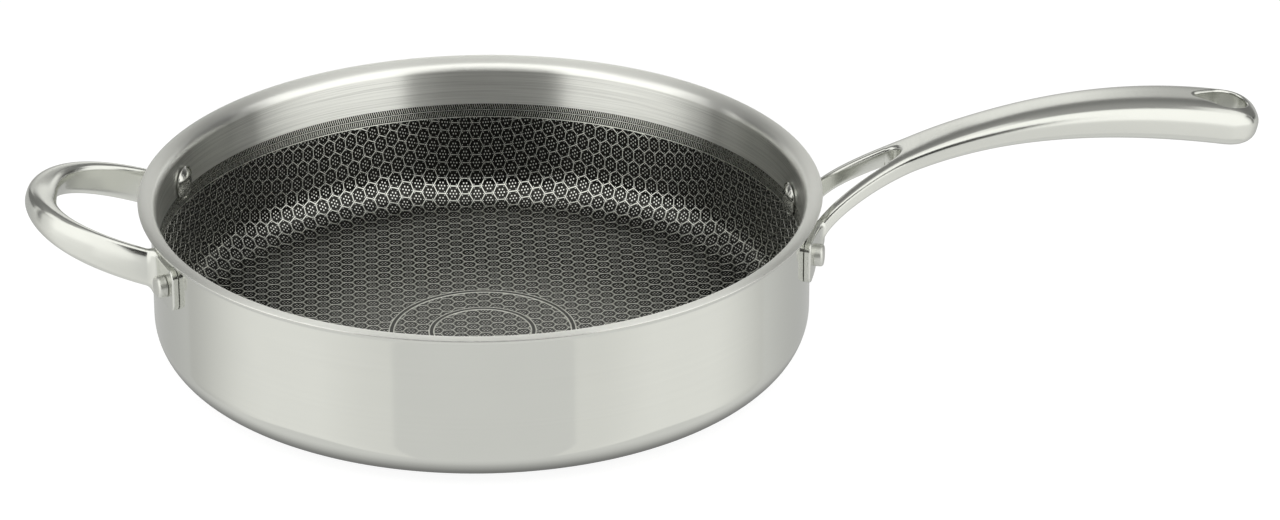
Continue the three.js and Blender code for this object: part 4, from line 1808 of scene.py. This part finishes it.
@dataclass
class Studio:
    """The stage: white floor and surround, and the light tent that shows in the steel."""

    front: float = -380 * MM
    left_gap: float = 200 * MM
    right_gap: float = 180 * MM
    upper_left_gap: float = 285 * MM
    upper_right_gap: float = 210 * MM
    side: float = 750 * MM
    left_end: float = 400 * MM
    right_end: float = 220 * MM
    upper_left_end: float = 300 * MM
    upper_right_end: float = 125 * MM
    bend: float = 220 * MM
    bend_steps: int = 10
    tent_low: float = -500 * MM
    tent_high: float = 420 * MM
    roof_height: float = 750 * MM
    roof_half_width: float = 1200 * MM
    roof_end: float = -40 * MM
    roof_fade: float = 100 * MM
    roof_tongues: tuple[tuple[float, float, float], ...] = (
        (-1200 * MM, -500 * MM, 240 * MM),
        (-190 * MM, 80 * MM, 200 * MM),
        (500 * MM, 1200 * MM, 240 * MM),
    )
    back: float = 600 * MM
    back_low: float = 100 * MM
    back_ends: tuple[float, float, float] = (-480 * MM, 100 * MM, 540 * MM)
    back_left_high: float = 385 * MM
    back_right_high: float = 460 * MM
    front_fill_start: float = 120 * MM
    front_fill_low: float = 330 * MM
    helper_fill_ends: tuple[float, float] = (-280 * MM, -165 * MM)
    helper_fill_front: float = -210 * MM
    helper_fill_high: float = 320 * MM
    white: float = 1.3
    roof_white: float = 1.17
    back_white: float = 1.1
    front_fill_white: float = 1.2
    helper_fill_white: float = 1.25
    blue_share: float = 0.97
    foot_white: float = 0.86
    foot_gain: Fade = Fade(0.1, math.radians(30), math.radians(58))
    foot_loss: Fade = Fade(0.42, math.radians(76), math.radians(122))
    foot_rise: Fade = Fade(50 * MM, -300 * MM, -340 * MM)
    foot_rise_aside: Fade = Fade(1.0, 450 * MM, 300 * MM)
    foot_edge: tuple[float, float] = (-50 * MM, 60 * MM)
    back_edge: Fade = Fade(1.0, 500 * MM, 550 * MM)
    back_losses: tuple[Fade, ...] = (
        Fade(0.45, 250 * MM, 440 * MM),
        Fade(0.2, -80 * MM, -200 * MM),
        Fade(0.15, -200 * MM, -350 * MM),
    )
    back_low_loss: Fade = Fade(0.4, 370 * MM, 100 * MM)
    flank_loss: Fade = Fade(0.35, -180 * MM, 0.0)
    gap_loss: Fade = Fade(0.55, -30 * MM, 20 * MM)
    gap_end: Fade = Fade(1.0, 120 * MM, 70 * MM)
    gap_shift: Fade = Fade(100 * MM, 0.0, -100 * MM)
    below: Colour = (0.77, 0.772, 0.755)
    underneath: Tone = Tone((0.8, 0.802, 0.785), -0.86, -0.99)
    behind: Tone = Tone((0.53, 0.532, 0.52), 0.15, 0.8)
    above: Colour = (0.2, 0.2, 0.195)
    zenith: Tone = Tone((0.38, 0.38, 0.37), 0.55, 1.0)
    aside: Tone = Tone((0.09, 0.09, 0.088), 0.8, 0.92)
    opening: Tone = Tone((0.02, 0.02, 0.0195), -0.3, -0.6)
    skyline: tuple[float, float] = (-0.02, 0.02)
    # Painted contact shadow: a dark sheet under the pan that only reflections see, standing in for the
    # floor's shade there.
    painted_shadow_inner: float = 128 * MM
    painted_shadow_outer: float = 147 * MM
    painted_shadow_drop: float = 0.3 * MM
    painted_shadow_colour: Colour = (0.2, 0.2, 0.196)
    floor_size: float = 6000 * MM
    floor_glow: float = 0.9
    floor_diffuse: float = 0.22

    def side_path(self, side: Side, gap: float, end: float) -> tuple[tuple[float, float], ...]:
        """Draws one side of the tent on the floor, from the front opening round to its end at the back.

        Args:
            side: Which side it is.
            gap: Distance of its start from the middle plane.
            end: How far back it ends.

        Returns:
            The points in order.
        """
        centre = (self.side - self.bend, self.front + self.bend)
        corner = arc(centre, self.bend, -math.pi / 2, 0, self.bend_steps)
        points = [(gap, self.front), *map(tuple, corner), (self.side, end)]
        return tuple((side.value * x, y) for x, y in points)

    def cards(self) -> list[Card]:
        """Lays out the upright cards.

        Returns:
            The sides of the tent, their feet, the back and two small fills.
        """
        upper_left = self.side_path(Side.LEFT, self.upper_left_gap, self.upper_left_end)
        upper_right = self.side_path(Side.RIGHT, self.upper_right_gap, self.upper_right_end)
        lower_left = self.side_path(Side.LEFT, self.left_gap, self.left_end)
        lower_right = self.side_path(Side.RIGHT, self.right_gap, self.right_end)
        left_end, split, right_end = ((end, self.back) for end in self.back_ends)
        front_fill = ((self.front_fill_start, self.front), (self.upper_right_gap, self.front))
        helper_fill = tuple((end, self.helper_fill_front) for end in self.helper_fill_ends)
        back_white, fill_white = self.back_white, self.front_fill_white
        return [
            Card("tent_left", upper_left, 0.0, self.tent_high, self.white),
            Card("tent_right", upper_right, 0.0, self.tent_high, self.white),
            Card("foot_left", lower_left, self.tent_low, 0.0, self.white),
            Card("foot_right", lower_right, self.tent_low, 0.0, self.white),
            Card("back_left", (left_end, split), self.back_low, self.back_left_high, back_white),
            Card("back_right", (split, right_end), self.back_low, self.back_right_high, back_white),
            Card("front_fill", front_fill, self.front_fill_low, self.tent_high, fill_white),
            Card("helper_fill", helper_fill, 0.0, self.helper_fill_high, self.helper_fill_white),
        ]

    def build(self) -> None:
        """Makes the world, the floor and the cards."""
        bpy.context.scene.view_settings.view_transform = "Standard"
        self._world()
        self._floor()
        for card in self.cards():
            self._card(card)
        self._roof()

    def _world(self) -> None:
        """Makes the surround: white to the camera, a dim room to everything else."""
        world = bpy.data.worlds.new("studio")
        world.use_nodes = True
        bpy.context.scene.world = world
        nodes = Nodes(world.node_tree)
        across, back, up = nodes.parts(nodes.add("TexCoord", {}, {}, "Generated"))
        low = self.underneath.over(self.below, up)
        low = self.behind.over(low, back)
        high = self.zenith.over(self.above, up)
        high = self.aside.over(high, abs(across))
        high = self.opening.over(high, back)
        room = nodes.blend(low, high, up.eased(*self.skyline))
        seen = nodes.add("LightPath", {}, {}, "Is Camera Ray")
        colour = nodes.blend(room, (1.0, 1.0, 1.0), seen)
        nodes.end(nodes.add("Background", {}, {"Color": colour, "Strength": 1.0}), "OutputWorld")

    def _floor(self) -> None:
        """Makes the pale floor, which keeps the pan's shadow."""
        material, nodes = material_nodes("floor")
        glow = nodes.add("Emission", {}, {"Color": (1.0, 1.0, 1.0, 1.0), "Strength": self.floor_glow})
        pale = (self.floor_diffuse,) * 3
        matt = nodes.add("BsdfDiffuse", {}, {"Color": (*pale, 1.0)})
        nodes.end(nodes.add("AddShader", {}, {0: glow, 1: matt}))
        floor = self._square("floor", self.floor_size, 0.0, material)
        floor.visible_glossy = False
        floor.visible_diffuse = False
        self._painted_contact_shadow()

    def _painted_contact_shadow(self) -> None:
        """Makes the painted contact shadow: a dark sheet under the pan, seen only in reflections, that shows
        as shade in the polished edge of its base.
        """
        material, nodes = material_nodes("painted_contact_shadow")
        open_floor = nodes.from_axis(nodes.place()).eased(self.painted_shadow_inner, self.painted_shadow_outer)
        # Painted shadow: a dark glow that stands in for the shade on the floor under the pan.
        shade = nodes.add("Emission", {}, {"Color": (*self.painted_shadow_colour, 1.0), "Strength": 1.0})
        clear = nodes.add("BsdfTransparent", {}, {})
        nodes.end(nodes.add("MixShader", {}, {0: open_floor, 1: shade, 2: clear}))
        patch = self._square("painted_contact_shadow", self.painted_shadow_outer, -self.painted_shadow_drop, material)
        patch.visible_camera = False
        patch.visible_diffuse = False
        patch.visible_shadow = False

    def _card(self, card: Card) -> None:
        """Makes a card, plain white above the floor and dimmer below it and towards its far end.

        Args:
            card: Its place and strength.
        """
        material, nodes = material_nodes(card.name)
        x, y, height = nodes.parts(nodes.place())
        turn = nodes.math("ARCTAN2", abs(x), 0 - y)
        foot = (self.foot_white + self.foot_gain.at(turn)) * (1 - self.foot_loss.at(turn))
        back = self.back_edge.at(y)
        aside = sum(loss.at(x) for loss in self.back_losses)
        along = y - self.gap_shift.at(x)
        flank = self.flank_loss.at(y) + self.gap_loss.at(along) * self.gap_end.at(along)
        dimmed = card.strength * (1 - aside * back) * (1 - self.back_low_loss.at(height) * back)
        dimmed = dimmed * (1 - flank * (1 - back))
        rise = self.foot_rise.at(y) * self.foot_rise_aside.at(abs(x))
        self._glow(nodes, foot, dimmed, (height - rise).eased(*self.foot_edge))
        points = [(x, y, card.low) for x, y in card.path] + [(x, y, card.high) for x, y in card.path]
        count = len(card.path)
        faces = [(step, step + 1, step + 1 + count, step + count) for step in range(count - 1)]
        self._hidden_light(card.name, points, faces, material)

    def _roof(self) -> None:
        """Makes the tent's sloping front roof."""
        material, nodes = material_nodes("tent_roof")
        _, y, _ = nodes.parts(nodes.place())
        lit = y.eased(self.roof_end, self.roof_end - self.roof_fade)
        self._glow(nodes, self.roof_white, self.white, lit)
        half = self.roof_half_width
        front = [(-half, self.front, self.tent_high), (half, self.front, self.tent_high)]
        back = [(half, self.roof_end, self.roof_height), (-half, self.roof_end, self.roof_height)]
        points, faces = front + back, [(0, 1, 2, 3)]
        for left, right, end in self.roof_tongues:
            faces.append(tuple(range(len(points), len(points) + 4)))
            corners = ((left, self.roof_end), (right, self.roof_end), (right, end), (left, end))
            points += [(x, y, self.roof_height) for x, y in corners]
        self._hidden_light("tent_roof", points, faces, material)

    def _glow(self, nodes: Nodes, low: Input, high: Input, share: Socket) -> None:
        """Ends a card's material as a glow.

        Args:
            nodes: The tree.
            low: Strength where the share is 0.
            high: Strength where it is 1.
            share: The share.
        """
        strength = lerp(low, high, share)
        grey = nodes.whole(strength, strength, strength * self.blue_share)
        nodes.end(nodes.add("Emission", {}, {"Color": grey, "Strength": 1.0}))

    def _square(
        self, name: str, reach: float, height: float, material: bpy.types.Material
    ) -> bpy.types.Object:
        """Returns a level square of the stage about the pan's axis."""
        corners = ((-reach, -reach), (reach, -reach), (reach, reach), (-reach, reach))
        return self._stage_mesh(name, [(x, y, height) for x, y in corners], [(0, 1, 2, 3)], material)

    @staticmethod
    def _stage_mesh(
        name: str, points: Corners, faces: Faces, material: bpy.types.Material
    ) -> bpy.types.Object:
        """Puts a mesh on the stage.

        Args:
            name: Its name.
            points: Its points.
            faces: Its faces.
            material: Its finish.

        Returns:
            The object.
        """
        mesh = bpy.data.meshes.new(name)
        mesh.from_pydata(points, [], faces)
        mesh.materials.append(material)
        prop = in_scene(name, mesh)
        return prop

    def _hidden_light(self, name: str, points: Corners, faces: Faces, material: bpy.types.Material) -> None:
        """Puts a light on the stage that the camera doesn't see.

        Args:
            name: Its name.
            points: Its points.
            faces: Its faces.
            material: Its glow.
        """
        light = self._stage_mesh(name, points, faces, material)
        light.visible_camera = False
        light.visible_shadow = False


def main() -> None:
    """Builds the pan and its stage."""
    logging.basicConfig(level=logging.INFO, format="%(message)s")
    Camera().build()
    Studio().build()
    body = CladBody()
    polished = PolishedSteel("polished steel").build()
    brushed = BrushedSteel("brushed steel").build()
    coating = DarkCoating("dark coating", body.cell_edge, body.cell_offset, body.pattern_reach).build()
    satin = SatinSteel(
        "bare steel relief", light=(0.95, 0.955, 0.9), dark=(0.8, 0.805, 0.755), roughness=0.46, lean=0.28,
        outer_radius=108 * MM, outer_roughness=0.28, outer_fade=16 * MM,
    ).build()
    cast = PolishedSteel("cast steel", roughness=0.2).build()
    rivet_steel = SatinSteel(
        "rivet steel", light=(0.78, 0.785, 0.745), dark=(0.62, 0.625, 0.595), roughness=0.12,
    ).build()
    body.outer_shell().as_piece("shell", polished, Slot.POLISHED_STEEL, "outer_shell")
    body.inner_liner().as_piece("liner", brushed, Slot.BRUSHED_STEEL, "inner_liner")
    body.film_skin().as_piece("coating", coating, Slot.DARK_COATING, "nonstick_coating")
    body.relief().as_piece("relief", satin, Slot.BRUSHED_STEEL)
    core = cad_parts["aluminium_core"]
    core.data.materials.clear()
    core.data.materials.append(RolledAluminium("rolled aluminium").build())
    log.info("aluminium_core: kept from the frame")
    long_rivets = [RivetPlace.of("long_handle_rivet_front"), RivetPlace.of("long_handle_rivet_back")]
    helper_rivets = [RivetPlace.of("helper_handle_rivet_front"), RivetPlace.of("helper_handle_rivet_back")]
    fit = WallFit(body.wall_radius)
    LongHandle(long_rivets, fit, body.height).skin().as_piece("handle", cast, Slot.CAST_STEEL, "long_handle")
    HelperHandle(helper_rivets, fit).skin().as_piece("helper", cast, Slot.CAST_STEEL, "helper_handle")
    rivets = Rivets(long_rivets + helper_rivets, fit, body.film_radius)
    for place in rivets.places:
        rivets.skin(place).as_piece(place.node + "_head", rivet_steel, Slot.RIVET_STEEL, place.node)


if __name__ == "__main__":
    main()
